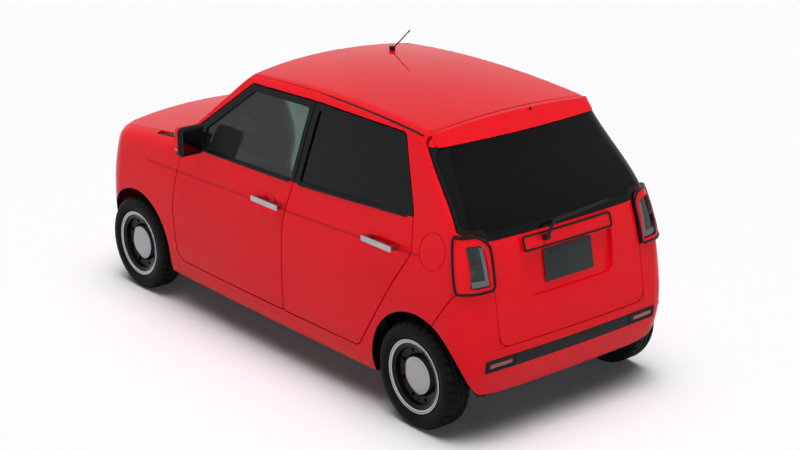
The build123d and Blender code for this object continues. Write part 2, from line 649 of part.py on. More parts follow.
def engine_block():
    """The engine and gearbox as one plain block between the rails."""
    block_part = block(-330, 330, -1540, -1010, 262, 720)
    body = rounded(block_part.solid(), 20, lambda c: abs(abs(c.X) - 330) < 1 and abs(c.Z - 491) < 1)
    mounts = block(-345 + SEAT_GAP, 345 - SEAT_GAP, -1300, -1230, 345, 405)
    return one(body + mounts)


def fuel_tank():
    tank = block(-380, 120, 330, 780, 160, FLOOR_TOP - FLOOR_PLATE - SEAT_GAP)
    return rounded(tank.solid(), 30, lambda c: abs(c.Z - 210) < 1 or c.Z < 161)


def exhaust():
    """The pipe along the tunnel side, ending in a silencer behind the axle."""
    pipe = rod((260, -1030, 200), (260, 1420, 200), 19) + rod((260, -1030, 190), (260, -1030, 262 - SEAT_GAP), 19)
    pipe = pipe + rod((260, 1412, 196), (260, 1470, 300), 19)
    can = Pos(120, 1510, 305) * Box(420, 150, 104)
    can = rounded(can.solid(), 40, lambda c: abs(c.X - 120) < 1)
    tail = rod((-60, 1510, 300), (-490, 1510, 300), 18) + rod((-490, 1506, 306), (-490, 1598, 223), 19)
    tail = tail - rod((-490, 1562, 256), (-490, 1640, 185), 16)
    hanger = rod((120, 1510, 340), (120, 1510, 420 - SEAT_GAP), 8)
    return one(pipe + can + tail + hanger)


def dashboard():
    """A full-width facia with a binnacle ahead of the driver and a centre stack."""
    body = side_prism([(-856 + SEAT_GAP, 760), (-856 + SEAT_GAP, 960), (-600, 985), (-520, 930), (-545, 800), (-640, 720)],
                      [10, 30, 60, 40, 40, 30], 0, -590, 590)
    stack = block(-110, 110, -800, -600, 480, 860)
    binnacle = rounded((Pos(-340, -600, 965) * Box(300, 150, 90)).solid(), 30, lambda c: c.Z > 1000)
    shape = (body + stack + binnacle) & tub(118)
    start = STEER - STEER_AXIS * 45.3
    return one(shape + rod(start, start - STEER_AXIS * 150, 34))


STEER = Vector(-340, -392, 905)
STEER_AXIS = Vector(0, math.cos(math.radians(28)), math.sin(math.radians(28)))


def steering_wheel():
    """A three-spoke rim about the column's axis."""
    plane = Plane(origin=STEER, z_dir=STEER_AXIS)
    ring = plane * Torus(172, 14)
    hub = cylinder(52, STEER - STEER_AXIS * 45, STEER_AXIS, 50)
    shape = ring + hub
    for turn in (0, 180, 270):
        a = math.radians(turn)
        way = plane.x_dir * math.cos(a) + plane.y_dir * math.sin(a)
        shape = shape + rod(STEER - STEER_AXIS * 16, STEER - STEER_AXIS * 4 + way * 168, 11)
    return one(shape)


def seat(x):
    """A front seat: cushion, back and headrest on its base."""
    cushion = rounded((Pos(x, 20, 500) * Rot(4, 0, 0) * Box(480, 500, 130)).solid(), 45, lambda c: True)
    back = rounded((Pos(x, 325, 810) * Rot(-16, 0, 0) * Box(460, 120, 600)).solid(), 45, lambda c: True)
    head = rounded((Pos(x, 424, 1180) * Rot(-12, 0, 0) * Box(240, 90, 160)).solid(), 38, lambda c: True)
    neck = rod((x - 50, 400, 1090), (x - 50, 418, 1130), 7) + rod((x + 50, 400, 1090), (x + 50, 418, 1130), 7)
    base = block(x - 200, x + 200, -200, 250, FLOOR_TOP, 450)
    return one(cushion + back + head + neck + base)


def front_seats():
    return Compound(children=[seat(-320), seat(320)])


def rear_seat():
    """A bench with a split back and two headrests."""
    cushion = rounded((Pos(0, 760, 550) * Rot(4, 0, 0) * Box(1040, 460, 140)).solid(), 45, lambda c: True)
    back = rounded((Pos(0, 1030, 800) * Rot(-18, 0, 0) * Box(1040, 120, 560)).solid(), 45, lambda c: True)
    shape = cushion + back + block(-480, 480, 560, 878, FLOOR_TOP, 500)
    for x in (-260, 260):
        head = rounded((Pos(x, 1130, 1125) * Rot(-14, 0, 0) * Box(240, 80, 120)).solid(), 34, lambda c: True)
        post = rod((x, 1105, 1030), (x, 1125, 1100), 9)
        shape = shape + head + post
    return one(shape)


def antenna():
    """A whip on a small foot at the front of the roof."""
    foot = (rod((-250, -44, 1490), (-250, -44, 1545), 17) - SHELL)
    whip = rod((-250, -44, 1528), (-250, 109, 1664), 3.5)
    return one((foot + whip) - SHELL)


def rear_wiper():
    """The rear wiper's arm and blade, lying along the foot of the window."""
    hub = rod((165, 1600, 965), (165, 1652, 985), 15)
    arm = rod((165, 1646, 983), (108, 1626, 1046), 9) + Pos(108, 1626, 1046) * Sphere(9)
    blade = rod((108, 1626, 1046), (-300, 1596, 1062), 6.5)
    return one((hub + arm + blade) - tub(-GARNISH_PROUD - SEAT_GAP))


def front_wipers():
    """Two wipers parked at the foot of the windscreen."""
    shapes = []
    for start, end in (((-420, -893, 1032), (20, -930, 1052)), ((60, -955, 1046), (500, -900, 1040))):
        foot = rod((start[0], start[1], 980), start, 13)
        shapes.append(one((rod(start, end, 7) + foot) - SHELL))
    return Compound(children=shapes)


# handle positions on each door: (along the car, height)
FRONT_HANDLE = (100.0, 880.0)
REAR_HANDLE = (1040.0, 914.0)
front_door = door(FRONT_DOOR, FRONT_DOOR_ROUNDS, FRONT_WINDOW, FRONT_WINDOW_ROUNDS, *FRONT_HANDLE)
rear_door = door(REAR_DOOR, REAR_DOOR_ROUNDS, REAR_WINDOW, REAR_WINDOW_ROUNDS, *REAR_HANDLE)
front_glass = door_glass(FRONT_WINDOW, FRONT_WINDOW_ROUNDS)
rear_glass = door_glass(REAR_WINDOW, REAR_WINDOW_ROUNDS)
frame_left = rear_quarter_and_frame()
lid_hole = cylinder(88 + 3, (600, 1381, 951), (1, 0, 0), 200) - tub(8 + SEAT_GAP)

# node name -> shape
PARTS = {
    "floor_pan": floor_pan(),
    "front_structure": front_structure(),
    "side_frame_left": frame_left - lid_hole,
    "side_frame_right": mirrored(frame_left),
    "roof_panel": roof_panel(),
    "front_wings": both_sides(fender()),
    "front_bumper": front_bumper(),
    "headlamps": headlamps(),
    "grille": grille(),
    "bonnet": bonnet(),
    "cowl_panel": cowl(),
    "windscreen": one(glass_screen(44.0, GLASS)),
    "tailgate": tailgate(),
    "tailgate_glass": tailgate_glass(),
    "gate_garnish": gate_garnish(),
    "rear_wiper": rear_wiper(),
    "tail_lamps": tail_lamps(),
    "rear_bumper": rear_bumper(),
    "rear_bumper_strip": rear_bumper_strip(),
    "fuel_lid": fuel_lid(),
    "antenna": antenna(),
    "front_wipers": front_wipers(),
    "engine_block": engine_block(),
    "fuel_tank": fuel_tank(),
    "exhaust": exhaust(),
    "front_subframe": front_subframe(),
    "front_struts": front_struts(),
    "rear_axle": rear_axle(),
    "rear_springs": rear_springs(),
    "dashboard": dashboard(),
    "steering_wheel": steering_wheel(),
    "front_seats": front_seats(),
    "rear_seat": rear_seat(),
}
for side, turn in (("left", lambda shape: shape), ("right", mirrored)):
    PARTS["front_door_" + side] = turn(front_door)
    PARTS["rear_door_" + side] = turn(rear_door)
    PARTS["front_door_glass_" + side] = turn(front_glass)
    PARTS["rear_door_glass_" + side] = turn(rear_glass)
    PARTS["front_door_handle_" + side] = turn(door_handle(*FRONT_HANDLE))
    PARTS["rear_door_handle_" + side] = turn(door_handle(*REAR_HANDLE))
    PARTS["door_mirror_" + side] = turn(mirror_unit())
    PARTS["knuckle_" + side] = turn(knuckle())
    for end, axle in (("front", FRONT_AXLE), ("rear", REAR_AXLE)):
        PARTS["tyre_%s_%s" % (end, side)] = turn(tyre(WHEEL_X, axle))
        PARTS["wheel_%s_%s" % (end, side)] = turn(wheel(WHEEL_X, axle))

os.makedirs("parts", exist_ok=True)
for name, shape in PARTS.items():
    solids = shape.solids()
    export_step(solids[0] if len(solids) == 1 else Compound(children=solids), "parts/%s.step" % name)
    print(name, len(solids), round(shape.volume / 1e6, 3))
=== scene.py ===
"""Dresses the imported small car: paint, glass, trim, lamps, tyres, seats and cabin, on a pale studio floor."""

import json
import math

import bmesh
import bpy
from mathutils import Matrix, Vector

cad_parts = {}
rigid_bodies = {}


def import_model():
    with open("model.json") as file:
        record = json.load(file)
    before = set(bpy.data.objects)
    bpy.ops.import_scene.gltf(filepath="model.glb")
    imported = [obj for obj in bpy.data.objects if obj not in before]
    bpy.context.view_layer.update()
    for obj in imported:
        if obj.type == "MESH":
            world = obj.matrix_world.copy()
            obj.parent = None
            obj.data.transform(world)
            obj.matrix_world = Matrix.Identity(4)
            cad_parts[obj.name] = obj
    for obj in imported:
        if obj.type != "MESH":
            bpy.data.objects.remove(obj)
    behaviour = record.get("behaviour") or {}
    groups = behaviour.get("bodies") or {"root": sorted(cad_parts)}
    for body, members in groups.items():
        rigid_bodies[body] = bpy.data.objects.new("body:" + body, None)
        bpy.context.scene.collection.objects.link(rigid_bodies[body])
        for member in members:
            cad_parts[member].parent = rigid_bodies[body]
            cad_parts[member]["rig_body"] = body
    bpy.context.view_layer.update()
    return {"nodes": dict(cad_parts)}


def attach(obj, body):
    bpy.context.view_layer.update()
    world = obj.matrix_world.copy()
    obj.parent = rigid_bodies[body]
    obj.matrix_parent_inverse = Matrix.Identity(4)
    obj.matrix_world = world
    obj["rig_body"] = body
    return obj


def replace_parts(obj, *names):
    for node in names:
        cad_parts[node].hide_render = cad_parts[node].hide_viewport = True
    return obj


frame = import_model()
cad = frame["nodes"]

# ---------------------------------------------------------------------------------------------
# Studio: a pale floor with soft shadows, a white background, even light from above and a
# camera behind the car's left rear corner, looking down at it with a long lens.


def srgb(code):
    """A hex colour as linear red, green, blue and alpha."""
    parts = [int(code[i:i + 2], 16) / 255 for i in (0, 2, 4)]
    return tuple(c / 12.92 if c <= 0.04045 else ((c + 0.055) / 1.055) ** 2.4 for c in parts) + (1.0,)


def feed(tree, node, sockets):
    """Fills a node's sockets, by name or in order, with values or links. A node stands for its first output."""
    for key, value in sockets.items() if isinstance(sockets, dict) else enumerate(sockets):
        if isinstance(value, bpy.types.Node):
            value = value.outputs[0]
        if isinstance(value, bpy.types.NodeSocket):
            tree.links.new(value, node.inputs[key])
        else:
            node.inputs[key].default_value = value


def add(tree, kind, sockets=(), **settings):
    """Adds one shader node with its settings and links. A second word in its kind is its operation."""
    kind, *operation = kind.split()
    made = tree.nodes.new("ShaderNode" + kind)
    for key, value in [("operation", word) for word in operation] + list(settings.items()):
        setattr(made, key, value)
    feed(tree, made, sockets)
    return made


def looked_at(tree):
    """1 for a ray from the camera, one that came through glass, and one off a shiny face."""
    path = add(tree, "LightPath").outputs
    seen = add(tree, "Math MAXIMUM", (path["Is Camera Ray"], path["Is Transmission Ray"]))
    return add(tree, "Math MAXIMUM", (seen, path["Is Glossy Ray"]))


# a ceiling softbox, and a low wall of light that is strongest behind the camera
CEILING, CEILING_FALL = 9.7, 18.0
WALL, WALL_FALL, WALL_DIMMEST, WALL_AIM = 15.0, 17.0, 0.15, (0.64, 0.77, 0.0)
world = bpy.data.worlds.new("studio")
bpy.context.scene.world = world
world.use_nodes = True
sky = world.node_tree
sky.nodes.clear()
way = add(sky, "TexCoord").outputs["Generated"]
climb = add(sky, "Math MAXIMUM", (add(sky, "SeparateXYZ", (way,)).outputs[2], 0.0))
ceiling = add(sky, "Math MULTIPLY", (add(sky, "Math POWER", (climb, CEILING_FALL)), CEILING))
wall = add(sky, "Math POWER", (add(sky, "Math SUBTRACT", (1.0, climb)), WALL_FALL))
facing = add(sky, "VectorMath DOT_PRODUCT", (way, WALL_AIM)).outputs["Value"]
facing = add(sky, "MapRange", {"Value": facing, "From Min": -1.0, "From Max": 1.0,
                               "To Min": WALL_DIMMEST * WALL, "To Max": WALL})
level = add(sky, "Math ADD", (ceiling, add(sky, "Math MULTIPLY", (wall, facing))))
soft = add(sky, "Background", {"Color": srgb("FCFCFF"), "Strength": level})
white = add(sky, "Background", {"Color": (1, 1, 1, 1), "Strength": 1.0})
mixed = add(sky, "MixShader", (looked_at(sky), soft, white))
add(sky, "OutputWorld", {"Surface": mixed})

studio_floor = bpy.data.materials.new("matt_white_floor")
studio_floor.use_nodes = True
tree = studio_floor.node_tree
tree.nodes.clear()
tone = add(tree, "Mix", {0: looked_at(tree), 6: srgb("A8A8A8"), 7: srgb("FDFDFD")}, data_type="RGBA").outputs[2]
add(tree, "OutputMaterial", {"Surface": add(tree, "BsdfDiffuse", {"Color": tone})})


def as_mesh(shape, name, smooth=False):
    """Ends a bmesh as a mesh."""
    made = bpy.data.meshes.new(name)
    shape.to_mesh(made)
    shape.free()
    for face in made.polygons:
        face.use_smooth = smooth
    return made


shape = bmesh.new()
bmesh.ops.create_grid(shape, x_segments=1, y_segments=1, size=60)
floor_mesh = as_mesh(shape, "floor")
floor_mesh.materials.append(studio_floor)
floor = bpy.data.objects.new("floor", floor_mesh)
bpy.context.scene.collection.objects.link(floor)

lens = bpy.data.cameras.new("camera")
lens.lens = 85.1
lens.sensor_width = 36
lens.clip_end = 200
camera = bpy.data.objects.new("camera", lens)
camera.location = (6.2672, 7.8454, 4.1050)
camera.rotation_euler = Vector((-0.60358, -0.72444, -0.33298)).to_track_quat("-Z", "Y").to_euler()
bpy.context.scene.collection.objects.link(camera)
bpy.context.scene.camera = camera
bpy.context.scene.view_settings.view_transform = "Standard"

# ---------------------------------------------------------------------------------------------
# Body panels: pressed steel doors, roof, wings, bonnet and gate, with moulded bumpers, all in
# one gloss red. The sashes above the waist and the gate round its glass are gloss black, the
# wheel arches are sealed black, and what faces the cabin carries grey trim.


def axes(tree):
    """A piece's own place as a vector, then the list x, y, z and the face direction's x, y, z."""
    coord = add(tree, "TexCoord").outputs
    place = add(tree, "SeparateXYZ", (coord["Object"],))
    faces = add(tree, "SeparateXYZ", (coord["Normal"],))
    return coord["Object"], list(place.outputs) + list(faces.outputs)


def surface(name):
    """A new material with one Principled shader: itself, its tree, the shader, and what axes gives."""
    made = bpy.data.materials.new(name)
    made.use_nodes = True
    tree = made.node_tree
    tree.nodes.clear()
    shader = add(tree, "BsdfPrincipled")
    add(tree, "OutputMaterial", {"Surface": shader})
    return made, tree, shader, *axes(tree)


def finish_as(material, *names):
    """Gives CAD nodes a finish."""
    for name in names:
        mesh = cad[name].data
        mesh.materials.clear()
        mesh.materials.append(material)


SIDES = (("left", 1), ("right", -1))
FRONT_AXLE, REAR_AXLE, WHEEL_RADIUS = -1.2225, 1.2975, 0.2785
RED, RED_DEEP = "E30D1C", "DF0B1A"
SASH_BLACK = "121315"
CABIN_GREY = "3A3835"
CABIN_PALE = "8D877B"


# the belt line as (rise, height at Y 0): it climbs more steeply behind the middle pillar
BELT_FRONT, BELT_REAR = (0.0251, 1.0184), (0.0551, 1.0094)


def above_belt(tree, p):
    """1 above the belt line."""
    front = add(tree, "Math MULTIPLY_ADD", (p[1], *BELT_FRONT))
    rear = add(tree, "Math MULTIPLY_ADD", (p[1], *BELT_REAR))
    return add(tree, "Math GREATER_THAN", (p[2], add(tree, "Math MAXIMUM", (front, rear))))


def within(tree, value, low, high):
    """1 between two limits."""
    above = add(tree, "Math GREATER_THAN", (value, low))
    return add(tree, "Math MULTIPLY", (above, add(tree, "Math LESS_THAN", (value, high))))


def gate_band(tree, p):
    """1 on the gate beside its glass."""
    return within(tree, p[2], 1.010, 1.412)


def outward(tree, p):
    """How far a face looks away from the middle of the car."""
    return add(tree, "Math MULTIPLY", (add(tree, "Math SIGN", (p[0],)), p[3]))


def cabin_side(tree, p):
    """1 where a side panel faces the middle of the car."""
    return add(tree, "Math LESS_THAN", (outward(tree, p), -0.35))


def cabin_ahead(tree, p):
    """1 where a panel at the tail faces ahead, into the car."""
    return add(tree, "Math LESS_THAN", (p[4], -0.35))


def cabin_below(tree, p):
    """1 where a panel faces down."""
    return add(tree, "Math LESS_THAN", (p[5], -0.5))


def card_insert(tree, p):
    """The pale cloth insert of a door card, between the armrest and the waist."""
    return add(tree, "Math MULTIPLY", (within(tree, p[2], 0.60, 0.90), cabin_side(tree, p)))


def reach(tree, a, a0, b, b0):
    """How far (a, b) is from (a0, b0)."""
    across = add(tree, "Math POWER", (add(tree, "Math SUBTRACT", (a, a0)), 2.0))
    up = add(tree, "Math POWER", (add(tree, "Math SUBTRACT", (b, b0)), 2.0))
    return add(tree, "Math SQRT", (add(tree, "Math ADD", (across, up)),))


def arch(axle):
    """1 on the sealed inside of a wheel arch."""
    def mask(tree, p):
        near = add(tree, "Math LESS_THAN", (reach(tree, p[1], axle, p[2], WHEEL_RADIUS), 0.3345))
        inside = add(tree, "Math LESS_THAN", (add(tree, "Math ABSOLUTE", (p[0],)), 0.728))
        return add(tree, "Math MULTIPLY", (near, inside))
    return mask


def crease_shade_mask(tree, p):
    """Where shade is painted along the pressed line on the side, which climbs from the front arch to the tail lamp."""
    rise = add(tree, "Math MULTIPLY_ADD", (p[1], 0.0335, 0.8585))
    past = add(tree, "Math MAXIMUM", (add(tree, "Math SUBTRACT", (p[1], 1.15)), 0.0))
    height = add(tree, "Math ADD", (rise, add(tree, "Math MULTIPLY", (past, 0.05))))
    away = add(tree, "Math ABSOLUTE", (add(tree, "Math SUBTRACT", (p[2], height)),))
    near = add(tree, "MapRange", {"Value": away, "From Min": 0.0015, "From Max": 0.010, "To Min": 1.0, "To Max": 0.0},
               interpolation_type="SMOOTHSTEP")
    return add(tree, "Math MULTIPLY", (near, within(tree, p[1], -1.12, 1.47)))


def painted(name, regions=(), painted_crease_shade=False):
    """Red base coat under a clear coat. regions are (colour, mask) pairs, the last on top."""
    made, tree, shader, place, p = surface(name)
    cloud = add(tree, "TexNoise", {"Vector": place, "Scale": 2.5, "Detail": 2.0})
    colour = add(tree, "Mix", {0: add(tree, "Math MULTIPLY_ADD", (cloud, 2.0, -0.5)), 6: srgb(RED), 7: srgb(RED_DEEP)},
                 data_type="RGBA").outputs[2]
    # painted shade: the paint is darkened a little towards the sills
    low = add(tree, "MapRange", {"Value": p[2], "From Min": 0.20, "From Max": 0.42, "To Min": 0.10, "To Max": 0.0})
    colour = add(tree, "Mix", {0: low, 6: colour, 7: srgb("6B4A44")}, data_type="RGBA").outputs[2]
    if painted_crease_shade:
        # painted shade: a dark line is painted along the side's pressed crease, with no groove in the shape
        colour = add(tree, "Mix",
                     {0: add(tree, "Math MULTIPLY", (crease_shade_mask(tree, p), 0.42)), 6: colour, 7: srgb("4A0508")},
                     data_type="RGBA").outputs[2]
    for code, mask in regions:
        colour = add(tree, "Mix", {0: mask(tree, p), 6: colour, 7: srgb(code)}, data_type="RGBA").outputs[2]
    # orange peel in the clear coat is about 5 mm across
    peel = add(tree, "TexNoise", {"Vector": place, "Scale": 180.0, "Detail": 1.0})
    peel = add(tree, "Bump", {"Height": peel, "Distance": 0.00004, "Strength": 0.25})
    film = add(tree, "MapRange", {"Value": cloud, "To Min": 0.32, "To Max": 0.42})
    feed(tree, shader, {"Base Color": colour, "Roughness": film, "Specular IOR Level": 0.0, "Coat Weight": 0.5,
                        "Coat Roughness": 0.05, "Coat IOR": 1.3, "Normal": peel, "Coat Normal": peel})
    return made


SEAL = "0C0C0D"
body_paint = painted("red_clear_coat_paint")
finish_as(body_paint, "fuel_lid", "gate_garnish", "bonnet")
finish_as(painted("red_wing_paint", [(SEAL, arch(FRONT_AXLE))], True), "front_wings", "front_bumper")
finish_as(painted("red_side_paint", [(CABIN_GREY, cabin_side), (SEAL, arch(REAR_AXLE))], True),
          "side_frame_left", "side_frame_right")
finish_as(painted("red_rear_bumper_paint", [(SEAL, arch(REAR_AXLE)), (SEAL, cabin_ahead)]), "rear_bumper")
finish_as(painted("red_door_paint_with_black_sash",
                  [(SASH_BLACK, above_belt), (CABIN_GREY, cabin_side), (CABIN_PALE, card_insert)], True),
          "front_door_left", "front_door_right", "rear_door_left", "rear_door_right")
finish_as(painted("red_gate_paint_with_black_band", [(SASH_BLACK, gate_band), (CABIN_GREY, cabin_ahead)]), "tailgate")
finish_as(painted("red_roof_paint_over_headliner", [("A39E93", cabin_below)]), "roof_panel")

# ---------------------------------------------------------------------------------------------
# Mouldings: extruded black rubber beads along the belt line and in the roof's ditches, pressed
# into the panels. Each is a swept bead that lies on the CAD skin.


def as_piece(name, mesh, material, body):
    """Makes a piece of a mesh, with its finish, riding on a body."""
    mesh.materials.clear()
    mesh.materials.append(material)
    made = bpy.data.objects.new(name, mesh)
    bpy.context.scene.collection.objects.link(made)
    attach(made, body)
    return made


def bead_mesh(points, radius, closed=False):
    """A round bead swept along a line of points."""
    line = bpy.data.curves.new("line", "CURVE")
    line.dimensions = "3D"
    line.bevel_depth = radius
    line.bevel_resolution = 2
    line.use_fill_caps = True
    run = line.splines.new("POLY")
    run.points.add(len(points) - 1)
    for spot, place in zip(run.points, points):
        spot.co = (*place, 1.0)
    run.use_cyclic_u = closed
    holder = bpy.data.objects.new("line", line)
    bpy.context.scene.collection.objects.link(holder)
    made = bpy.data.meshes.new_from_object(holder.evaluated_get(bpy.context.evaluated_depsgraph_get()))
    bpy.data.objects.remove(holder)
    bpy.data.curves.remove(line)
    return made


def joined(parts):
    """One smooth mesh from several."""
    whole = bmesh.new()
    for part in parts:
        whole.from_mesh(part)
    return as_mesh(whole, "joined", True)


def bead(name, lines, radius, material, body, closed=False):
    """One piece of beads swept along lines."""
    as_piece(name, joined([bead_mesh(line, radius, closed) for line in lines]), material, body)


def on_skin(names, start, aim, lift=0.0):
    """Where a ray from start first meets one of the named CAD nodes, lifted off its skin."""
    best = None
    for name in names:
        hit, place, normal, _ = cad[name].ray_cast(Vector(start), Vector(aim))
        if hit and (best is None or (place - Vector(start)).length < (best[0] - Vector(start)).length):
            best = (place, normal)
    if best is None:
        return None
    return best[0] + best[1] * lift


def moulded(name, code, rough=0.5, grain=0.0006, depth=0.00015, metal=0.0):
    """Injection-moulded or extruded plastic or rubber with a fine spark grain."""
    made, tree, shader, place, _ = surface(name)
    cloud = add(tree, "TexNoise", {"Vector": place, "Scale": 7.0, "Detail": 3.0})
    worn = tuple(min(1.0, c * 1.35 + 0.004) for c in srgb(code)[:3]) + (1.0,)
    film = add(tree, "MapRange", {"Value": cloud, "To Min": rough - 0.06, "To Max": rough + 0.08})
    spark = add(tree, "TexVoronoi", {"Vector": place, "Scale": 1.0 / grain})
    colour = add(tree, "Mix", {0: add(tree, "Math MULTIPLY_ADD", (cloud, 1.6, -0.4)), 6: srgb(code), 7: worn},
                 data_type="RGBA").outputs[2]
    feed(tree, shader, {"Base Color": colour, "Roughness": film, "Metallic": metal, "Specular IOR Level": 0.14,
                        "Normal": add(tree, "Bump", {"Height": spark, "Distance": depth, "Strength": 0.5})})
    return made


OVERHEAD, DOWN = 2.0, (0, 0, -1)
rubber = moulded("black_extruded_rubber", "101112", 0.55)
gloss_black = moulded("gloss_black_moulding", "0A0B0C", 0.22, 0.002, 0.00002)


def belt(y):
    """The belt line's height."""
    return max(rise * y + foot for rise, foot in (BELT_FRONT, BELT_REAR))


for side, sx in SIDES:
    for door, y0, y1 in (("front_door", -0.565, 0.296), ("rear_door", 0.246, 1.165)):
        node = "%s_%s" % (door, side)
        line = []
        for k in range(15):
            y = y0 + (y1 - y0) * k / 14
            spot = on_skin([node], (sx * 1.0, y, belt(y) - 0.004), (-sx, 0, 0), 0.001)
            if spot:
                line.append(spot)
        bead("belt_moulding_" + node, [line], 0.0055, rubber, node)
    ditch = []
    for k in range(33):
        y = -0.300 + 1.46 * k / 32
        spot = on_skin(["roof_panel", "side_frame_" + side], (sx * 0.547, y, OVERHEAD), DOWN)
        if spot:
            ditch.append((spot[0], spot[1], spot[2] + 0.0015))
    bead("roof_ditch_moulding_" + side, [ditch], 0.0052, rubber, "body")

# ---------------------------------------------------------------------------------------------
# Glass: toughened panes 4 to 5 mm thick, pale green ahead and dark privacy glass behind the
# front doors. A black ceramic band is fired on at the edges of the windscreen and rear window.


def pane(name, see, film_code, ior, band=None, held=0.2):
    """Thin glass: what passes is tinted, the share held shows the film's colour, and the face is glossy.
    band is a mask where all of it is film."""
    made = bpy.data.materials.new(name)
    made.use_nodes = True
    tree = made.node_tree
    tree.nodes.clear()
    place, p = axes(tree)
    haze = add(tree, "TexNoise", {"Vector": place, "Scale": 4.0, "Detail": 2.0})
    rough = add(tree, "MapRange", {"Value": haze, "To Min": 0.01, "To Max": 0.03})
    through = add(tree, "BsdfTransparent", {"Color": srgb(see)})
    gloss = add(tree, "BsdfGlossy", {"Color": (1, 1, 1, 1), "Roughness": rough})
    film = add(tree, "BsdfDiffuse", {"Color": srgb(film_code)})
    hold = add(tree, "Math MAXIMUM", (band(tree, p), held)) if band else held
    body = add(tree, "MixShader", (hold, through, film))
    both = add(tree, "MixShader", (add(tree, "Fresnel", {"IOR": ior}), body, gloss))
    add(tree, "OutputMaterial", {"Surface": both})
    return made


def screen_band(tree, p):
    """The fired-on band along the foot and head of the windscreen."""
    return add(tree, "Math MAXIMUM",
               (add(tree, "Math LESS_THAN", (p[2], 0.995)), add(tree, "Math GREATER_THAN", (p[2], 1.448))))


def rear_band(tree, p):
    """Sides and foot of the rear window, with the fine heating wires 30 mm apart."""
    leaning_side = add(tree, "Math ADD",
                       (add(tree, "Math ABSOLUTE", (p[0],)), add(tree, "Math MULTIPLY", (p[2], 0.31))))
    edge = add(tree, "Math GREATER_THAN", (leaning_side, 0.905))
    foot = add(tree, "Math LESS_THAN", (p[2], 1.045))
    wires = add(tree, "Math LESS_THAN", (add(tree, "Math PINGPONG", (p[2], 0.015)), 0.0009))
    return add(tree, "Math MAXIMUM",
               (add(tree, "Math MAXIMUM", (edge, foot)), add(tree, "Math MULTIPLY", (wires, 0.6))))


GREEN_TINT = "C2D6CE"
finish_as(pane("clear_green_glass", GREEN_TINT, "6A706C", 1.28, held=0.12),
          "front_door_glass_left", "front_door_glass_right")
finish_as(pane("windscreen_glass", GREEN_TINT, "0E1011", 1.28, screen_band), "windscreen")
finish_as(pane("privacy_side_glass", "4A5250", "0C0E0E", 1.24), "rear_door_glass_left", "rear_door_glass_right")
finish_as(pane("privacy_rear_glass", "3C4342", "0B0C0C", 1.18, rear_band), "tailgate_glass")

# ---------------------------------------------------------------------------------------------
# Tail lamps: a red bezel moulding stands proud of the corner in a gloss black frame. A smoked
# acrylic lens covers ribbed reflectors, with a grey bar down its inner edge and along its foot.


def slab(x0, x1, y0, y1, z0, z1, edge, segments=2):
    """A box mesh with its edges rounded."""
    shape = bmesh.new()
    bmesh.ops.create_cube(shape, size=1.0)
    bmesh.ops.scale(shape, vec=(x1 - x0, y1 - y0, z1 - z0), verts=shape.verts)
    bmesh.ops.translate(shape, vec=((x0 + x1) / 2, (y0 + y1) / 2, (z0 + z1) / 2), verts=shape.verts)
    bmesh.ops.bevel(shape, geom=shape.edges[:], offset=edge, segments=segments, affect="EDGES", profile=0.5,
                    material=-1, clamp_overlap=True)
    return as_mesh(shape, "slab")


def placed(mesh, matrix):
    """A mesh moved to its place."""
    mesh.transform(matrix)
    return mesh


def rim_line(points, rounds):
    """Rounds the corners of a closed outline of vectors, each by its own radius, in six steps."""
    line = []
    count = len(points)
    for k in range(count):
        before, corner, after = Vector(points[k - 1]), Vector(points[k]), Vector(points[(k + 1) % count])
        r = rounds[k]
        a = corner + (before - corner).normalized() * r
        b = corner + (after - corner).normalized() * r
        for t in [s / 6 for s in range(7)]:
            line.append(a * (1 - t) ** 2 + corner * 2 * t * (1 - t) + b * t ** 2)
    return line


def spread_line(line, pitch, closed=True):
    """Adds points so that none is further than pitch from the next."""
    made = []
    ends = list(line[1:]) + ([line[0]] if closed else [])
    for a, b in zip(line, ends):
        parts = max(1, int((b - a).length / pitch))
        made += [a.lerp(b, s / parts) for s in range(parts)]
    return made if closed else made + [line[-1]]


# rays that find the tail's skin start this far back and go ahead, and where they miss it the tail is here
BEHIND, AHEAD, TAIL_Y = 2.2, (0, -1, 0), 1.55


def behind(nodes, outline, lift, sx=1, pitch=0.02, closed=True):
    """An (x, z) line dropped from behind onto the CAD skin."""
    made = []
    for spot in spread_line([Vector((sx * x, 0, z)) for x, z in outline], pitch, closed):
        hit = on_skin(nodes, (spot[0], BEHIND, spot[2]), AHEAD, lift)
        if hit:
            made.append(hit)
    return made


def skin_patch(names, outline, lift, thick, sx=1, pitch=0.012):
    """A panel over the CAD skin: an (x, z) outline cut into cells, dropped from behind and given a wall."""
    shape = bmesh.new()
    ring = [shape.verts.new((sx * x, 0, z)) for x, z in outline]
    shape.faces.new(ring)
    low = [min(v.co[k] for v in ring) for k in (0, 2)]
    high = [max(v.co[k] for v in ring) for k in (0, 2)]
    for axis, start, stop in ((0, low[0], high[0]), (2, low[1], high[1])):
        for k in range(1, int((stop - start) / pitch) + 1):
            cut, normal = [0.0, 0.0, 0.0], [0.0, 0.0, 0.0]
            cut[axis], normal[axis] = start + k * pitch, 1.0
            bmesh.ops.bisect_plane(shape, geom=shape.verts[:] + shape.edges[:] + shape.faces[:], dist=1e-5,
                                   plane_co=cut, plane_no=normal)
    bmesh.ops.triangulate(shape, faces=shape.faces[:])
    for vert in shape.verts:
        hit = on_skin(names, (vert.co[0], BEHIND, vert.co[2]), AHEAD)
        vert.co[1] = (hit[1] if hit else TAIL_Y) + lift
    grown = bmesh.ops.extrude_face_region(shape, geom=shape.faces[:])
    back = [v for v in grown["geom"] if isinstance(v, bmesh.types.BMVert)]
    bmesh.ops.translate(shape, vec=(0, -thick, 0), verts=back)
    bmesh.ops.recalc_face_normals(shape, faces=shape.faces[:])
    return as_mesh(shape, "panel")


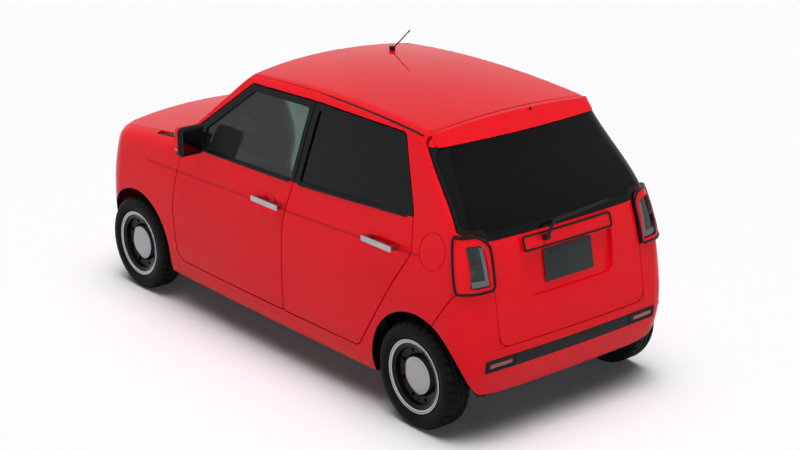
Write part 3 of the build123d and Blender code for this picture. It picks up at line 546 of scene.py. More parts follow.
# smoked acrylic is dark and very glossy, with vertical prism ribs 6 mm apart behind it
lens_finish, tree, shader, place, p = surface("smoked_acrylic_lens")
ribs = add(tree, "Math PINGPONG", (p[0], 0.006))
cells = add(tree, "Math LESS_THAN", (add(tree, "Math PINGPONG", (p[2], 0.017)), 0.0135))
# painted reflection: the reflector cells behind the smoked lens are painted lighter, with dark lines between them
painted_cell_reflection = add(tree, "Math MULTIPLY", (cells, add(tree, "Math GREATER_THAN", (ribs, 0.0012))))
colour = add(tree, "Mix", {0: add(tree, "Math MULTIPLY", (painted_cell_reflection, 0.55)), 6: srgb("0B0D0D"), 7: srgb("2A2E2E")},
             data_type="RGBA").outputs[2]
cloud = add(tree, "TexNoise", {"Vector": place, "Scale": 22.0, "Detail": 1.0})
colour = add(tree, "Mix", {0: add(tree, "Math MULTIPLY_ADD", (cloud, 1.5, -0.62)), 6: colour, 7: srgb("3A4040")},
             data_type="RGBA").outputs[2]
feed(tree, shader, {"Base Color": colour, "Roughness": 0.12, "Specular IOR Level": 0.25, "Coat Weight": 0.2,
                    "Coat Roughness": 0.03,
                    "Normal": add(tree, "Bump", {"Height": ribs, "Distance": 0.0008, "Strength": 0.4})})

LENS = [(0.5315, 0.8135), (0.6440, 0.8175), (0.6270, 1.0105), (0.5355, 1.0085)]
LENS_ROUNDS = [0.008, 0.008, 0.008, 0.034]
BAR = [(0.5330, 0.8150), (0.6370, 0.8190), (0.6345, 0.8460), (0.5560, 0.8430), (0.5570, 0.9990), (0.5365, 1.0000)]


def lamp_wall(tree, p):
    """1 on the outer walls of a lamp, and inside its well."""
    flat = add(tree, "Math GREATER_THAN", (add(tree, "Math ABSOLUTE", (p[5],)), 0.75))
    ahead = add(tree, "Math LESS_THAN", (p[4], -0.25))
    inward = add(tree, "Math LESS_THAN", (outward(tree, p), -0.5))
    return add(tree, "Math MAXIMUM", (add(tree, "Math MAXIMUM", (flat, ahead)), inward))


def lamp_front(z):
    """How far ahead the lamp reaches along the car's side at a height."""
    return 1.4915 + (1.053 - z) * 0.288


def lamp_corner(sx, z, turns):
    """Points round the car's corner at a height, each found by a ray aimed at the lamp's middle."""
    middle = Vector((sx * 0.60, 1.42, z))
    made = []
    for turn in turns:
        out = Vector((sx * math.sin(math.radians(turn)), math.cos(math.radians(turn)), 0))
        hit = on_skin(LAMP, middle + out * 0.5, -out, 0.001)
        if hit and hit[1] > lamp_front(z) + 0.006:
            made.append(hit)
    return made


LAMP = ["tail_lamps"]
LAMP_FOOT, LAMP_HEAD = 0.7915, 1.0475
finish_as(painted("red_lamp_bezel_paint", [("0B0B0C", lamp_wall)]), *LAMP)
grey_frame = moulded("grey_bezel_plastic", "5E6162", 0.3, 0.003, 0.00004)
INNER_EDGE = [(0.600, LAMP_FOOT), (0.526, LAMP_FOOT), (0.5095, 0.805), (0.4985, 0.985), (0.513, 1.028),
              (0.565, LAMP_HEAD), (0.600, LAMP_HEAD)]
for side, sx in SIDES:
    line = [(v[0], v[2]) for v in rim_line([(x, 0, z) for x, z in LENS], LENS_ROUNDS)]
    as_piece("lamp_lens_" + side, skin_patch(LAMP, line, 0.0035, 0.003, sx), lens_finish, "body")
    as_piece("lamp_bezel_bar_" + side, skin_patch(LAMP, BAR, 0.0075, 0.0035, sx), grey_frame, "body")
    # the black frame: up the inner edge from the foot, round the corner, down the side and back round
    loop = behind(LAMP, INNER_EDGE, 0.001, sx, 0.02, False) + lamp_corner(sx, LAMP_HEAD, range(5, 85, 5))
    for step in range(12):
        z = 1.040 - 0.0218 * step
        loop.append(on_skin(LAMP, (sx * 1.0, lamp_front(z) + 0.007, z), (-sx, 0, 0), 0.001))
    loop += lamp_corner(sx, LAMP_FOOT, range(80, 0, -5))
    bead("lamp_frame_" + side, [[v for v in loop if v]], 0.0075, gloss_black, "body", True)

# ---------------------------------------------------------------------------------------------
# Gate fittings: a gloss black bead frames the red garnish bar, a blank charcoal plate sits in the
# recess on two capped screws, and a dark stop lamp hangs behind the top of the window.

corners = [(-0.2985, 0, 0.9335), (0.2985, 0, 0.9335), (0.2985, 0, 0.9985), (-0.2985, 0, 0.9985)]
edge = behind(["gate_garnish"], [(v[0], v[2]) for v in rim_line(corners, [0.010] * 4)], 0.001, 1, 0.015)
bead("garnish_frame", [edge], 0.006, gloss_black, "tailgate", True)
dot = on_skin(["gate_garnish"], (-0.232, BEHIND, 0.967), AHEAD)
bead("garnish_lock_dot", [[dot, dot + Vector((0, 0.0012, 0))]], 0.0055, rubber, "tailgate")

# the plate leans with the recess behind it
foot = on_skin(["tailgate"], (0, BEHIND, 0.780), AHEAD)
head = on_skin(["tailgate"], (0, BEHIND, 0.880), AHEAD)
lean = math.atan2(foot[1] - head[1], head[2] - foot[2])
middle = foot.lerp(head, 0.47)
stand = Matrix.Translation((0, middle[1] + 0.0075, middle[2])) @ Matrix.Rotation(lean, 4, "X")
plate_parts = [placed(slab(-0.165, 0.165, -0.0012, 0.0012, -0.0825, 0.0825, 0.0011), stand)]
for x in (-0.105, 0.105):
    plate_parts.append(placed(slab(x - 0.008, x + 0.008, -0.0065, 0.004, 0.048, 0.064, 0.0035, 3), stand))
plate_paint = moulded("painted_pressed_plate", "272C2C", 0.42, 0.004, 0.00003)
as_piece("rear_plate_blank", joined(plate_parts), plate_paint, "tailgate")

stop = on_skin(["tailgate_glass"], (0, BEHIND, 1.385), AHEAD)
as_piece("high_stop_lamp", slab(-0.105, 0.105, stop[1] - 0.052, stop[1] - 0.014, 1.362, 1.400, 0.008),
         moulded("dark_lamp_housing", "151617", 0.35, 0.003, 0.00003), "tailgate")
jet = on_skin(["roof_panel", "tailgate"], (-0.094, 1.230, OVERHEAD), DOWN)
bead("washer_jet", [[jet, jet + Vector((0, 0.007, 0.004))]], 0.007, rubber, "tailgate")

# ---------------------------------------------------------------------------------------------
# Rear bumper fittings: the black strip ends in two framed pockets, each with a red reflector
# over fine ribs, and parking sensors sit in the strip and at the bumper's corners.

strip_plastic = moulded("grained_black_polypropylene", "151617", 0.55, 0.0012, 0.0001)
STRIP = ["rear_bumper_strip"]
finish_as(strip_plastic, *STRIP)


def prismatic(name, dark, light):
    """Acrylic with rows of small cube corners moulded in the back, with light and shade painted across each row."""
    made, tree, shader, _, p = surface(name)
    prisms = add(tree, "Math PINGPONG", (add(tree, "Math ADD", (p[0], p[2])), 0.004))
    # painted light and shade: each row of prisms runs from the dark colour to the light one, as lit and shaded facets
    colour = add(tree, "Mix", {0: add(tree, "Math MULTIPLY", (prisms, 250.0)), 6: srgb(dark), 7: srgb(light)},
                 data_type="RGBA").outputs[2]
    feed(tree, shader, {"Base Color": colour, "Roughness": 0.15, "Coat Weight": 0.6,
                        "Normal": add(tree, "Bump", {"Height": prisms, "Distance": 0.001, "Strength": 0.5})})
    return made


reflector_red = prismatic("red_prismatic_reflector", "5E0A10", "A51A22")
for side, sx in SIDES:
    edge = behind(STRIP, [(0.580, 0.387), (0.578, 0.437), (0.395, 0.437), (0.395, 0.387)], 0.0, sx, 0.012)
    bead("pocket_frame_" + side, [edge], 0.0045, strip_plastic, "body", True)
    red = [(0.562, 0.403), (0.560, 0.424), (0.425, 0.424), (0.425, 0.403)]
    as_piece("rear_reflector_" + side, skin_patch(STRIP, red, 0.0015, 0.002, sx, 0.02), reflector_red, "body")
    # the ribs run above and below the reflector
    heights = [z for z in (0.3925 + 0.0045 * k for k in range(10)) if not 0.400 < z < 0.427]
    ribs = [behind(STRIP, [(0.400, z), (0.574, z)], 0.0003, sx, 0.02, False) for z in heights]
    bead("pocket_ribs_" + side, ribs, 0.0011, strip_plastic, "body")
    for tag, x, z, skin, look in (("inner", 0.30, 0.4065, STRIP, strip_plastic),
                                  ("outer", 0.655, 0.430, ["rear_bumper"], body_paint)):
        spot = on_skin(skin, (sx * x, BEHIND, z), AHEAD)
        face = on_skin(skin, (sx * x, BEHIND, z), AHEAD, 0.0018)
        bead("parking_sensor_%s_%s" % (tag, side), [[spot * 2 - face, face]], 0.0105, look, "body")

# ---------------------------------------------------------------------------------------------
# Door mirrors: a red painted cap on a black foot, a silver line round its lower third, and a
# convex glass held in a black inner shell.

mirror_glass, tree, shader, place, _ = surface("silvered_mirror_glass")
haze = add(tree, "TexNoise", {"Vector": place, "Scale": 9.0})
feed(tree, shader, {"Base Color": srgb("4A4D50"), "Metallic": 1.0,
                    "Roughness": add(tree, "MapRange", {"Value": haze, "To Min": 0.02, "To Max": 0.06})})


def mirror_black(tree, p):
    """The foot, the stalk and the inner shell."""
    foot = add(tree, "Math LESS_THAN", (p[2], 1.030))
    stalk = add(tree, "Math LESS_THAN", (add(tree, "Math ABSOLUTE", (p[0],)), 0.712))
    face = add(tree, "Math GREATER_THAN", (p[1], -0.535))
    return add(tree, "Math MAXIMUM", (add(tree, "Math MAXIMUM", (foot, stalk)), face))


finish_as(painted("red_mirror_cap_paint", [("141517", mirror_black)]), "door_mirror_left", "door_mirror_right")
bright = moulded("satin_chromed_plastic", "C6C9CC", 0.18, 0.004, 0.00001, 1.0)
for side, sx in SIDES:
    shell = ["door_mirror_" + side]
    dish = on_skin(shell, (sx * 0.788, 0.0, 1.085), AHEAD)
    x0, x1 = sorted((sx * 0.7225, sx * 0.8525))
    glass = slab(x0, x1, dish[1], dish[1] + 0.006, 1.0225, 1.1475, 0.0028)
    as_piece("mirror_face_" + side, glass, mirror_glass, "front_door_" + side)
    # the silver line: rays from all round find the shell at one height, and the part behind is left
    ring = []
    for k in range(40):
        a = 2 * math.pi * k / 40
        around = Vector((sx * 0.785, -0.555, 1.0445))
        start = around + Vector((0.4 * math.cos(a), 0.4 * math.sin(a), 0))
        hit = on_skin(shell, start, around - start, -0.0012)
        if hit and hit[1] < -0.5345 and sx * hit[0] > 0.715:
            ring.append(hit)
    ring.sort(key=lambda v: math.atan2(v[1] + 0.5, sx * (v[0] - sx * 0.785)))
    bead("mirror_silver_line_" + side, [ring], 0.0021, bright, "front_door_" + side)

# ---------------------------------------------------------------------------------------------
# Door handles: chromed grab bars cast in zinc, pinned to the doors over shallow dishes.

finish_as(moulded("chromed_handle", "9DA0A3", 0.16, 0.006, 0.00001, 1.0), *[n for n in cad if "handle" in n])

# ---------------------------------------------------------------------------------------------
# Wheels: 14-inch pressed steel wheels. The rim's outer ring and the plain domed cap are bright,
# the dished disc between them is black.

CAP_RADIUS = 0.0965


def wheel_finish(name, axle):
    """Bright ring and cap, black between them, by the distance from the hub."""
    made, tree, shader, place, p = surface(name)
    far = reach(tree, p[1], axle, p[2], WHEEL_RADIUS)
    dish = within(tree, far, CAP_RADIUS, 0.1735)
    from_groove = add(tree, "Math ABSOLUTE", (add(tree, "Math SUBTRACT", (far, 0.1835)),))
    groove = add(tree, "Math LESS_THAN", (from_groove, 0.0012))
    inside = add(tree, "Math LESS_THAN", (add(tree, "Math ABSOLUTE", (p[0],)), 0.672))
    black = add(tree, "Math MAXIMUM", (add(tree, "Math MAXIMUM", (dish, inside)), groove))
    brushed = add(tree, "TexNoise", {"Vector": place, "Scale": 30.0, "Detail": 1.0})
    bright = add(tree, "Mix",
                 {0: add(tree, "Math LESS_THAN", (far, CAP_RADIUS)), 6: srgb("A9ABAD"), 7: srgb("999B9D")},
                 data_type="RGBA").outputs[2]
    # a faint domed ring pressed round the cap
    domed = add(tree, "Math SINE", (add(tree, "Math MULTIPLY", (far, 500.0)),))
    colour = add(tree, "Mix", {0: black, 6: bright, 7: srgb("08090A")}, data_type="RGBA").outputs[2]
    feed(tree, shader, {"Base Color": colour, "Metallic": add(tree, "Math MULTIPLY_ADD", (black, -0.9, 0.9)),
                        "Roughness": add(tree, "MapRange", {"Value": brushed, "To Min": 0.18, "To Max": 0.24}),
                        "Specular IOR Level": 0.12,
                        "Normal": add(tree, "Bump", {"Height": domed, "Distance": 0.0002, "Strength": 0.06})})
    return made


finish_as(wheel_finish("bright_steel_front_wheel", FRONT_AXLE), "wheel_front_left", "wheel_front_right")
finish_as(wheel_finish("bright_steel_rear_wheel", REAR_AXLE), "wheel_rear_left", "wheel_rear_right")

# ---------------------------------------------------------------------------------------------
# Tyres: 155/65R14 summer tyres, black rubber with grooves round the tread, sipes across the
# shoulders and two plain ribs moulded on each wall.

tyre_black, tree, shader, place, _ = surface("carbon_black_rubber")
dust = add(tree, "TexNoise", {"Vector": place, "Scale": 14.0, "Detail": 4.0})
colour = add(tree, "Mix", {0: add(tree, "Math MULTIPLY_ADD", (dust, 1.4, -0.4)), 6: srgb("0A0A0A"), 7: srgb("131313")},
             data_type="RGBA").outputs[2]
feed(tree, shader, {"Base Color": colour, "Roughness": 0.62, "Specular IOR Level": 0.08,
                    "Normal": add(tree, "Bump", {"Height": dust, "Distance": 0.0003, "Strength": 0.3})})

# half of the section, as (offset from the middle, radius): wall, shoulder, tread with grooves
SECTION = [(-0.0626, 0.1783), (-0.0626, 0.1930), (-0.0680, 0.1985), (-0.0694, 0.2025), (-0.0712, 0.2036),
           (-0.0748, 0.2190), (-0.0760, 0.2200), (-0.0774, 0.2320), (-0.0765, 0.2360), (-0.0766, 0.2400),
           (-0.0738, 0.2575), (-0.0690, 0.2640), (-0.0618, 0.2718), (-0.0545, 0.2755), (-0.0475, 0.2782),
           (-0.0350, 0.2782), (-0.0340, 0.2715), (-0.0280, 0.2715), (-0.0270, 0.2784), (-0.0050, 0.2785),
           (-0.0040, 0.2715)]
STEPS = 144
for end, axle in (("front", FRONT_AXLE), ("rear", REAR_AXLE)):
    for side, sx in SIDES:
        node = "tyre_%s_%s" % (end, side)
        hub = Vector((sx * 0.655, axle, WHEEL_RADIUS))
        shape = bmesh.new()
        whole = SECTION + [(-u, r) for u, r in reversed(SECTION)]
        verts = [shape.verts.new(hub + Vector((u, 0, r))) for u, r in whole]
        edges = [shape.edges.new(pair) for pair in zip(verts, verts[1:] + verts[:1])]
        bmesh.ops.spin(shape, geom=verts + edges, cent=hub, axis=(1, 0, 0), angle=2 * math.pi, steps=STEPS,
                       use_merge=True)
        bmesh.ops.remove_doubles(shape, verts=shape.verts[:], dist=1e-5)
        bmesh.ops.recalc_face_normals(shape, faces=shape.faces[:])
        sipes = []
        for face in shape.faces:
            mid = face.calc_center_median() - hub
            turn = int((math.atan2(mid[2], mid[1]) / (2 * math.pi)) % 1.0 * STEPS)
            if turn % 4 == 0 and 0.036 < abs(mid[0]) < 0.0665 and math.hypot(mid[1], mid[2]) > 0.2660:
                sipes.append(face)
        bmesh.ops.inset_individual(shape, faces=sipes, thickness=0.0008, depth=-0.004)
        made = as_mesh(shape, node, True)
        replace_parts(as_piece("treaded_" + node, made, tyre_black, cad[node]["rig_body"]), node)

# ---------------------------------------------------------------------------------------------
# Wipers and aerial: pressed arms in matt black with spring covers, and a rubber blade clipped to the
# rear arm. The aerial's mast and foot are matt black too.

wiper_black = moulded("matt_black_coated_steel", "131415", 0.45, 0.004, 0.00004)
finish_as(wiper_black, "rear_wiper", "front_wipers", "antenna")
blade = [Vector((0.095, 1.6300, 1.0455)), Vector((-0.09, 1.6165, 1.0520)), Vector((-0.298, 1.5995, 1.0600))]
blade = [on_skin(["tailgate_glass", "tailgate"], (v[0], BEHIND, v[2] - 0.012), AHEAD, 0.0025) or v for v in blade]
bead("rear_wiper_rubber", [spread_line(blade, 0.03, False)], 0.0035, rubber, "tailgate")

# ---------------------------------------------------------------------------------------------
# Nose: round lamps with a bright ring and reflector under a clear cover, a black mesh grille,
# and a black cowl with slots at the foot of the windscreen.

made, tree, shader, _, p = surface("lamp_cover_over_reflector")
far = reach(tree, add(tree, "Math ABSOLUTE", (p[0],)), 0.520, p[2], 0.740)
ring = add(tree, "Math GREATER_THAN", (far, 0.094))
steps = add(tree, "Math PINGPONG", (far, 0.0065))
# painted reflection: each stepped ring of the reflector runs from dark to light grey
painted_reflector_bands = add(tree, "Mix", {0: add(tree, "Math MULTIPLY", (steps, 150.0)), 6: srgb("6E7275"), 7: srgb("C6CACC")},
            data_type="RGBA").outputs[2]
painted_reflector_bands = add(tree, "Mix", {0: add(tree, "Math LESS_THAN", (far, 0.036)), 6: painted_reflector_bands, 7: srgb("30363A")},
            data_type="RGBA").outputs[2]
colour = add(tree, "Mix", {0: ring, 6: painted_reflector_bands, 7: srgb("B9BCBE")}, data_type="RGBA").outputs[2]
feed(tree, shader, {"Base Color": colour, "Metallic": add(tree, "Math MULTIPLY", (ring, 0.9)), "Roughness": 0.12,
                    "Coat Weight": 0.5, "Coat IOR": 1.4,
                    "Normal": add(tree, "Bump", {"Height": steps, "Distance": 0.004, "Strength": 0.4})})
finish_as(made, "headlamps")

made, tree, shader, _, p = surface("black_grille_mesh")
rows = add(tree, "Math LESS_THAN", (add(tree, "Math PINGPONG", (p[2], 0.012)), 0.003))
columns = add(tree, "Math LESS_THAN", (add(tree, "Math PINGPONG", (p[0], 0.016)), 0.002))
bars = add(tree, "Math MAXIMUM", (rows, columns))
# painted shade: the openings between the bars are painted near black
colour = add(tree, "Mix", {0: bars, 6: srgb("050505"), 7: srgb("1D1F21")}, data_type="RGBA").outputs[2]
feed(tree, shader, {"Base Color": colour, "Roughness": 0.4, "Specular IOR Level": 0.15,
                    "Normal": add(tree, "Bump", {"Height": bars, "Distance": 0.004, "Strength": 0.8})})
finish_as(made, "grille")

made, tree, shader, _, p = surface("slotted_cowl_plastic")
slots = add(tree, "Math LESS_THAN", (add(tree, "Math PINGPONG", (p[0], 0.008)), 0.0028))
# painted shade: the slots are painted near black
colour = add(tree, "Mix", {0: slots, 6: srgb("17181A"), 7: srgb("060606")}, data_type="RGBA").outputs[2]
feed(tree, shader, {"Base Color": colour, "Roughness": 0.5, "Specular IOR Level": 0.15,
                    "Normal": add(tree, "Bump", {"Height": slots, "Distance": 0.003, "Strength": 0.6})})
finish_as(made, "cowl_panel")

# a sponge seal closes the slot between each wing and the bonnet, just ahead of the cowl
climbing = Matrix.Translation((0, -1.045, 0.973)) @ Matrix.Rotation(math.atan(0.14), 4, "X")
for side, sx in SIDES:
    x0, x1 = sorted((sx * 0.6065, sx * 0.6445))
    seal = placed(slab(x0, x1, -0.058, 0.058, -0.014, 0.0, 0.003), climbing)
    as_piece("cowl_end_seal_" + side, seal, rubber, "body")

# ---------------------------------------------------------------------------------------------
# Seats: moulded foam in pale woven cloth, with welts sewn round each panel. The headrests
# stand on steel posts, and each front seat sits on a plastic-trimmed base over its rails.

# one thread every 1.2 mm, in radians to the metre
THREADS = 5200.0


def cloth(name, code):
    """Woven cloth, threads 1.2 mm apart, a little worn in patches."""
    made, tree, shader, place, p = surface(name)
    across = add(tree, "Math ADD", (p[0], add(tree, "Math MULTIPLY", (p[1], 0.2))))
    warp = add(tree, "Math MULTIPLY", (across, THREADS))
    weft = add(tree, "Math MULTIPLY", (add(tree, "Math ADD", (p[2], p[1])), THREADS))
    weave = add(tree, "Math MULTIPLY", (add(tree, "Math SINE", (warp,)), add(tree, "Math SINE", (weft,))))
    weave = add(tree, "Math MULTIPLY_ADD", (weave, 0.5, 0.5))
    cloud = add(tree, "TexNoise", {"Vector": place, "Scale": 11.0, "Detail": 4.0})
    r, g, b, _ = srgb(code)
    pale = (min(1, r * 1.12), min(1, g * 1.12), min(1, b * 1.12), 1)
    deep = (r * 0.8, g * 0.8, b * 0.78, 1)
    colour = add(tree, "Mix", {0: cloud, 6: deep, 7: pale}, data_type="RGBA").outputs[2]
    feed(tree, shader, {"Base Color": colour, "Roughness": 0.9, "Sheen Weight": 0.25, "Specular IOR Level": 0.1,
                        "Normal": add(tree, "Bump", {"Height": weave, "Distance": 0.0004, "Strength": 0.35})})
    return made


def cushion(width, depth, height, edge, crown, stand):
    """A stuffed block: rounded edges and a crowned middle on its large faces."""
    half = Vector((width / 2, depth / 2, height / 2))
    shape = bmesh.new()
    bmesh.ops.create_cube(shape, size=2.0)
    bmesh.ops.subdivide_edges(shape, edges=shape.edges[:], cuts=13, use_grid_fill=True)
    thin = min(range(3), key=lambda k: half[k])
    wide = [k for k in range(3) if k != thin]
    for vert in shape.verts:
        spot = Vector([vert.co[k] * half[k] for k in range(3)])
        core = Vector([max(-(half[k] - edge), min(half[k] - edge, spot[k])) for k in range(3)])
        out = spot - core
        if out.length > 1e-9:
            spot = core + out.normalized() * edge
        swell = (1 - (spot[wide[0]] / half[wide[0]]) ** 2) * (1 - (spot[wide[1]] / half[wide[1]]) ** 2)
        # the block is made low by the crown, so that its middle comes up to full height
        spot[thin] = spot[thin] * (1 - crown / half[thin] * (1 - max(0.0, swell)))
        vert.co = spot
    bmesh.ops.recalc_face_normals(shape, faces=shape.faces[:])
    return placed(as_mesh(shape, "cushion", True), stand)


def leaning(x, y, z, turn):
    """A place, turned back by degrees about the car's width."""
    return Matrix.Translation((x, y, z)) @ Matrix.Rotation(math.radians(turn), 4, "X")


def welt(width, length, inset, height, up, stand):
    """A sewn bead round a panel: up is 2 for a cushion's top, or 1 for a back's front."""
    half = (width / 2 - inset, length / 2 - inset)
    corners = [(-half[0], -half[1]), (half[0], -half[1]), (half[0], half[1]), (-half[0], half[1])]
    ring = rim_line([(a, b, height) if up == 2 else (a, height, b) for a, b in corners], [0.05] * 4)
    return bead_mesh([stand @ v for v in ring], 0.0028, True)


pale_cloth = cloth("pale_woven_cloth", "C2BAAB")
welt_cloth = cloth("grey_welt_cord", "7B756B")
post_steel = moulded("polished_steel_post", "A5A8AA", 0.2, 0.01, 0.00001, 1.0)
seat_plastic = moulded("seat_base_plastic", "26262A", 0.6, 0.001, 0.0001)
for side, x in (("left", 0.32), ("right", -0.32)):
    base = leaning(x, 0.020, 0.500, 4)
    back = leaning(x, 0.325, 0.810, -16)
    head = leaning(x, 0.424, 1.180, -12)
    for tag, mesh in (("cushion", cushion(0.476, 0.496, 0.128, 0.044, 0.012, base)),
                      ("back", cushion(0.456, 0.118, 0.596, 0.044, 0.012, back)),
                      ("headrest", cushion(0.238, 0.089, 0.158, 0.037, 0.006, head))):
        piece = as_piece("front_%s_%s" % (tag, side), mesh, pale_cloth, "body")
        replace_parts(piece, "front_seats")
    as_piece("front_welts_" + side, joined([welt(0.476, 0.496, 0.055, 0.0545, 2, base),
                                            welt(0.456, 0.596, 0.055, -0.0495, 1, back)]), welt_cloth, "body")
    posts = [[(x + d, 0.396, 1.070), (x + d, 0.418, 1.130)] for d in (-0.05, 0.05)]
    bead("front_posts_" + side, posts, 0.0065, post_steel, "body")
    plinth = slab(x - 0.198, x + 0.198, -0.195, 0.245, 0.3005, 0.447, 0.012)
    as_piece("front_seat_base_" + side, plinth, seat_plastic, "body")

base = leaning(0, 0.760, 0.550, 4)
back = leaning(0, 1.030, 0.800, -18)
for tag, mesh in (("cushion", cushion(1.036, 0.456, 0.138, 0.044, 0.012, base)),
                  ("back", cushion(1.036, 0.118, 0.556, 0.044, 0.010, back)),
                  ("headrest_left", cushion(0.238, 0.079, 0.118, 0.033, 0.005, leaning(0.26, 1.130, 1.125, -14))),
                  ("headrest_right", cushion(0.238, 0.079, 0.118, 0.033, 0.005, leaning(-0.26, 1.130, 1.125, -14)))):
    piece = as_piece("rear_" + tag, mesh, pale_cloth, "body")
    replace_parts(piece, "rear_seat")
as_piece("rear_welts",
         joined([welt(1.036, 0.456, 0.055, 0.0595, 2, base), welt(1.036, 0.556, 0.055, -0.0505, 1, back)]), welt_cloth,
         "body")
posts = [[(x + d, 1.112, 1.045), (x + d, 1.126, 1.095)] for x in (-0.26, 0.26) for d in (-0.03, 0.03)]
bead("rear_posts", posts, 0.0055, post_steel, "body")
as_piece("rear_seat_plinth", slab(-0.478, 0.478, 0.562, 0.876, 0.3005, 0.498, 0.008), seat_plastic, "body")

# ---------------------------------------------------------------------------------------------
# Cabin: a grained facia with a pale lower half, round dials ahead of the driver, a blank
# screen, vents and a stitched steering wheel. Needle-felt carpet covers the floor.

made, tree, shader, place, p = surface("two_tone_facia")
grain = add(tree, "TexVoronoi", {"Vector": place, "Scale": 700.0})
cloud = add(tree, "TexNoise", {"Vector": place, "Scale": 5.0, "Detail": 3.0})
dark = add(tree, "Mix", {0: cloud, 6: srgb("1C1C1D"), 7: srgb("2A2A2B")}, data_type="RGBA").outputs[2]
beside = add(tree, "Math GREATER_THAN", (add(tree, "Math ABSOLUTE", (p[0],)), 0.112))
lower = add(tree, "Math MULTIPLY", (add(tree, "Math LESS_THAN", (p[2], 0.905)), beside))
colour = add(tree, "Mix", {0: lower, 6: dark, 7: srgb("9A9284")}, data_type="RGBA").outputs[2]
feed(tree, shader, {"Base Color": colour, "Roughness": 0.6, "Specular IOR Level": 0.15,
                    "Normal": add(tree, "Bump", {"Height": grain, "Distance": 0.0002, "Strength": 0.5})})
finish_as(made, "dashboard")

made, tree, shader, place, _ = surface("stitched_black_leather")
grain = add(tree, "TexVoronoi", {"Vector": place, "Scale": 450.0})
cloud = add(tree, "TexNoise", {"Vector": place, "Scale": 8.0})
colour = add(tree, "Mix", {0: cloud, 6: srgb("131313"), 7: srgb("1E1E1E")}, data_type="RGBA").outputs[2]
feed(tree, shader, {"Base Color": colour, "Roughness": 0.45, "Specular IOR Level": 0.2,
                    "Normal": add(tree, "Bump", {"Height": grain, "Distance": 0.0003, "Strength": 0.5})})
finish_as(made, "steering_wheel")

made, tree, shader, place, p = surface("needle_felt_carpet_over_steel")
felt = add(tree, "TexNoise", {"Vector": place, "Scale": 420.0, "Detail": 3.0})
carpet = add(tree, "Mix", {0: felt, 6: srgb("1A1A1A"), 7: srgb("3A3937")}, data_type="RGBA").outputs[2]
under = add(tree, "Math LESS_THAN", (p[5], -0.3))
colour = add(tree, "Mix", {0: under, 6: carpet, 7: srgb("1B1C1D")}, data_type="RGBA").outputs[2]
feed(tree, shader, {"Base Color": colour, "Roughness": 0.95, "Specular IOR Level": 0.1,
                    "Normal": add(tree, "Bump", {"Height": felt, "Distance": 0.002, "Strength": 0.6})})
finish_as(made, "floor_pan")


def round_about(middle, radius, out, a):
    """A point on a dial at an angle, out from its face."""
    return middle + Vector((radius * math.cos(a), out, radius * math.sin(a)))


dial_face = moulded("dark_dial_face", "0A0B0D", 0.3, 0.003, 0.00002)
for side, x in (("left", -0.285), ("right", -0.395)):
    face = on_skin(["dashboard"], (x, 0.0, 0.963), AHEAD)
    bead("dial_" + side, [[face, face + Vector((0, 0.003, 0))]], 0.036, dial_face, "body")
    ring = [round_about(face, 0.036, 0.0035, math.pi * k / 16) for k in range(32)]
    ticks = [bead_mesh([round_about(face, r, 0.0032, math.pi * (k - 2) / 8) for r in (0.029, 0.033)], 0.0007)
             for k in range(13)]
    as_piece("dial_marks_" + side, joined([bead_mesh(ring, 0.0015, True)] + ticks), bright, "body")
screen = on_skin(["dashboard"], (0.0, 0.0, 0.93), AHEAD)
glass = slab(-0.085, 0.085, screen[1] - 0.002, screen[1] + 0.004, 0.885, 0.975, 0.0018)
as_piece("blank_screen", glass, dial_face, "body")

# the rear-view mirror hangs from the windscreen on a short arm
glue = on_skin(["windscreen"], (0, 0.2, 1.372), AHEAD)
as_piece("cabin_mirror", joined([slab(-0.115, 0.115, glue[1] + 0.050, glue[1] + 0.064, 1.300, 1.356, 0.006),
                                 bead_mesh([glue + Vector((0, 0.001, 0)), glue + Vector((0, 0.054, -0.040))], 0.006)]),
         moulded("black_mirror_plastic", "151618", 0.4, 0.003, 0.00003), "body")

# ---------------------------------------------------------------------------------------------
# Underbody and engine bay: sealed and painted steel, a cast engine, a black tank, springs with
# their coils, and a bright finisher on the tail pipe.


def coated(name, low, high, rough, metal=0.0, scale=12.0):
    """Painted, cast or galvanised metal with grime in patches and a fine rough grain."""
    made, tree, shader, place, _ = surface(name)
    grime = add(tree, "TexNoise", {"Vector": place, "Scale": scale, "Detail": 5.0})
    grain = add(tree, "TexNoise", {"Vector": place, "Scale": 260.0, "Detail": 2.0})
    colour = add(tree, "Mix", {0: grime, 6: srgb(low), 7: srgb(high)}, data_type="RGBA").outputs[2]
    feed(tree, shader, {"Base Color": colour, "Roughness": rough, "Metallic": metal, "Specular IOR Level": 0.2,
                        "Normal": add(tree, "Bump", {"Height": grain, "Distance": 0.0006, "Strength": 0.5})})
    return made


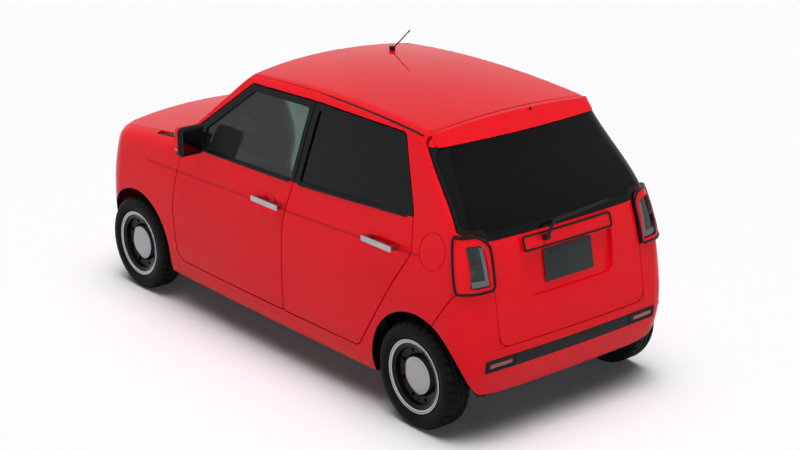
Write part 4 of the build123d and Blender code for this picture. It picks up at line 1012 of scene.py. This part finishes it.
finish_as(coated("sealed_body_steel", "1A1B1C", "2A2B2C", 0.6), "front_structure", "front_subframe", "rear_axle")
finish_as(coated("cast_aluminium", "74767A", "95989B", 0.5, 0.7), "engine_block")
finish_as(coated("cast_iron_and_disc", "3D3B3A", "5F5C59", 0.5, 0.6, 30.0), "knuckle_left", "knuckle_right")
finish_as(coated("black_tank_plastic", "131313", "1D1D1D", 0.6), "fuel_tank")
finish_as(coated("black_damper_paint", "101112", "1B1C1D", 0.45), "front_struts", "rear_springs")

made, tree, shader, place, p = surface("aluminised_exhaust_steel")
grime = add(tree, "TexNoise", {"Vector": place, "Scale": 9.0, "Detail": 5.0})
dull = add(tree, "Mix", {0: grime, 6: srgb("5A5755"), 7: srgb("83807C")}, data_type="RGBA").outputs[2]
tip = add(tree, "Math MULTIPLY",
          (add(tree, "Math LESS_THAN", (p[0], -0.40)), add(tree, "Math GREATER_THAN", (p[1], 1.545))))
colour = add(tree, "Mix", {0: tip, 6: dull, 7: srgb("B9BBBC")}, data_type="RGBA").outputs[2]
feed(tree, shader, {"Base Color": colour, "Metallic": 0.9,
                    "Roughness": add(tree, "Math MULTIPLY_ADD", (tip, -0.30, 0.45)),
                    "Normal": add(tree, "Bump", {"Height": grime, "Distance": 0.0006, "Strength": 0.2})})
finish_as(made, "exhaust")

# the coils lie half sunk in the plain sleeves that the solids give them
spring_paint = coated("powder_coated_spring", "202124", "2C2D30", 0.4)
for side, sx in SIDES:
    low, high = Vector((sx * 0.600, FRONT_AXLE, 0.180)), Vector((sx * 0.500, FRONT_AXLE, 0.760))
    shaft = high - low
    aim = shaft.to_track_quat("Z", "Y")
    start, stop = (low + shaft * ((z - low[2]) / 0.580) for z in (0.592, 0.726))
    coil = [start.lerp(stop, k / 100) + aim @ Vector((0.052 * math.cos(k * 0.314), 0.052 * math.sin(k * 0.314), 0))
            for k in range(101)]
    bead("front_coil_" + side, [coil], 0.0055, spring_paint, "body")
    coil = [Vector((sx * 0.400 + 0.050 * math.cos(k * 0.33), REAR_AXLE + 0.050 * math.sin(k * 0.33),
                    0.302 + 0.112 * k / 80)) for k in range(81)]
    bead("rear_coil_" + side, [coil], 0.0055, spring_paint, "body")
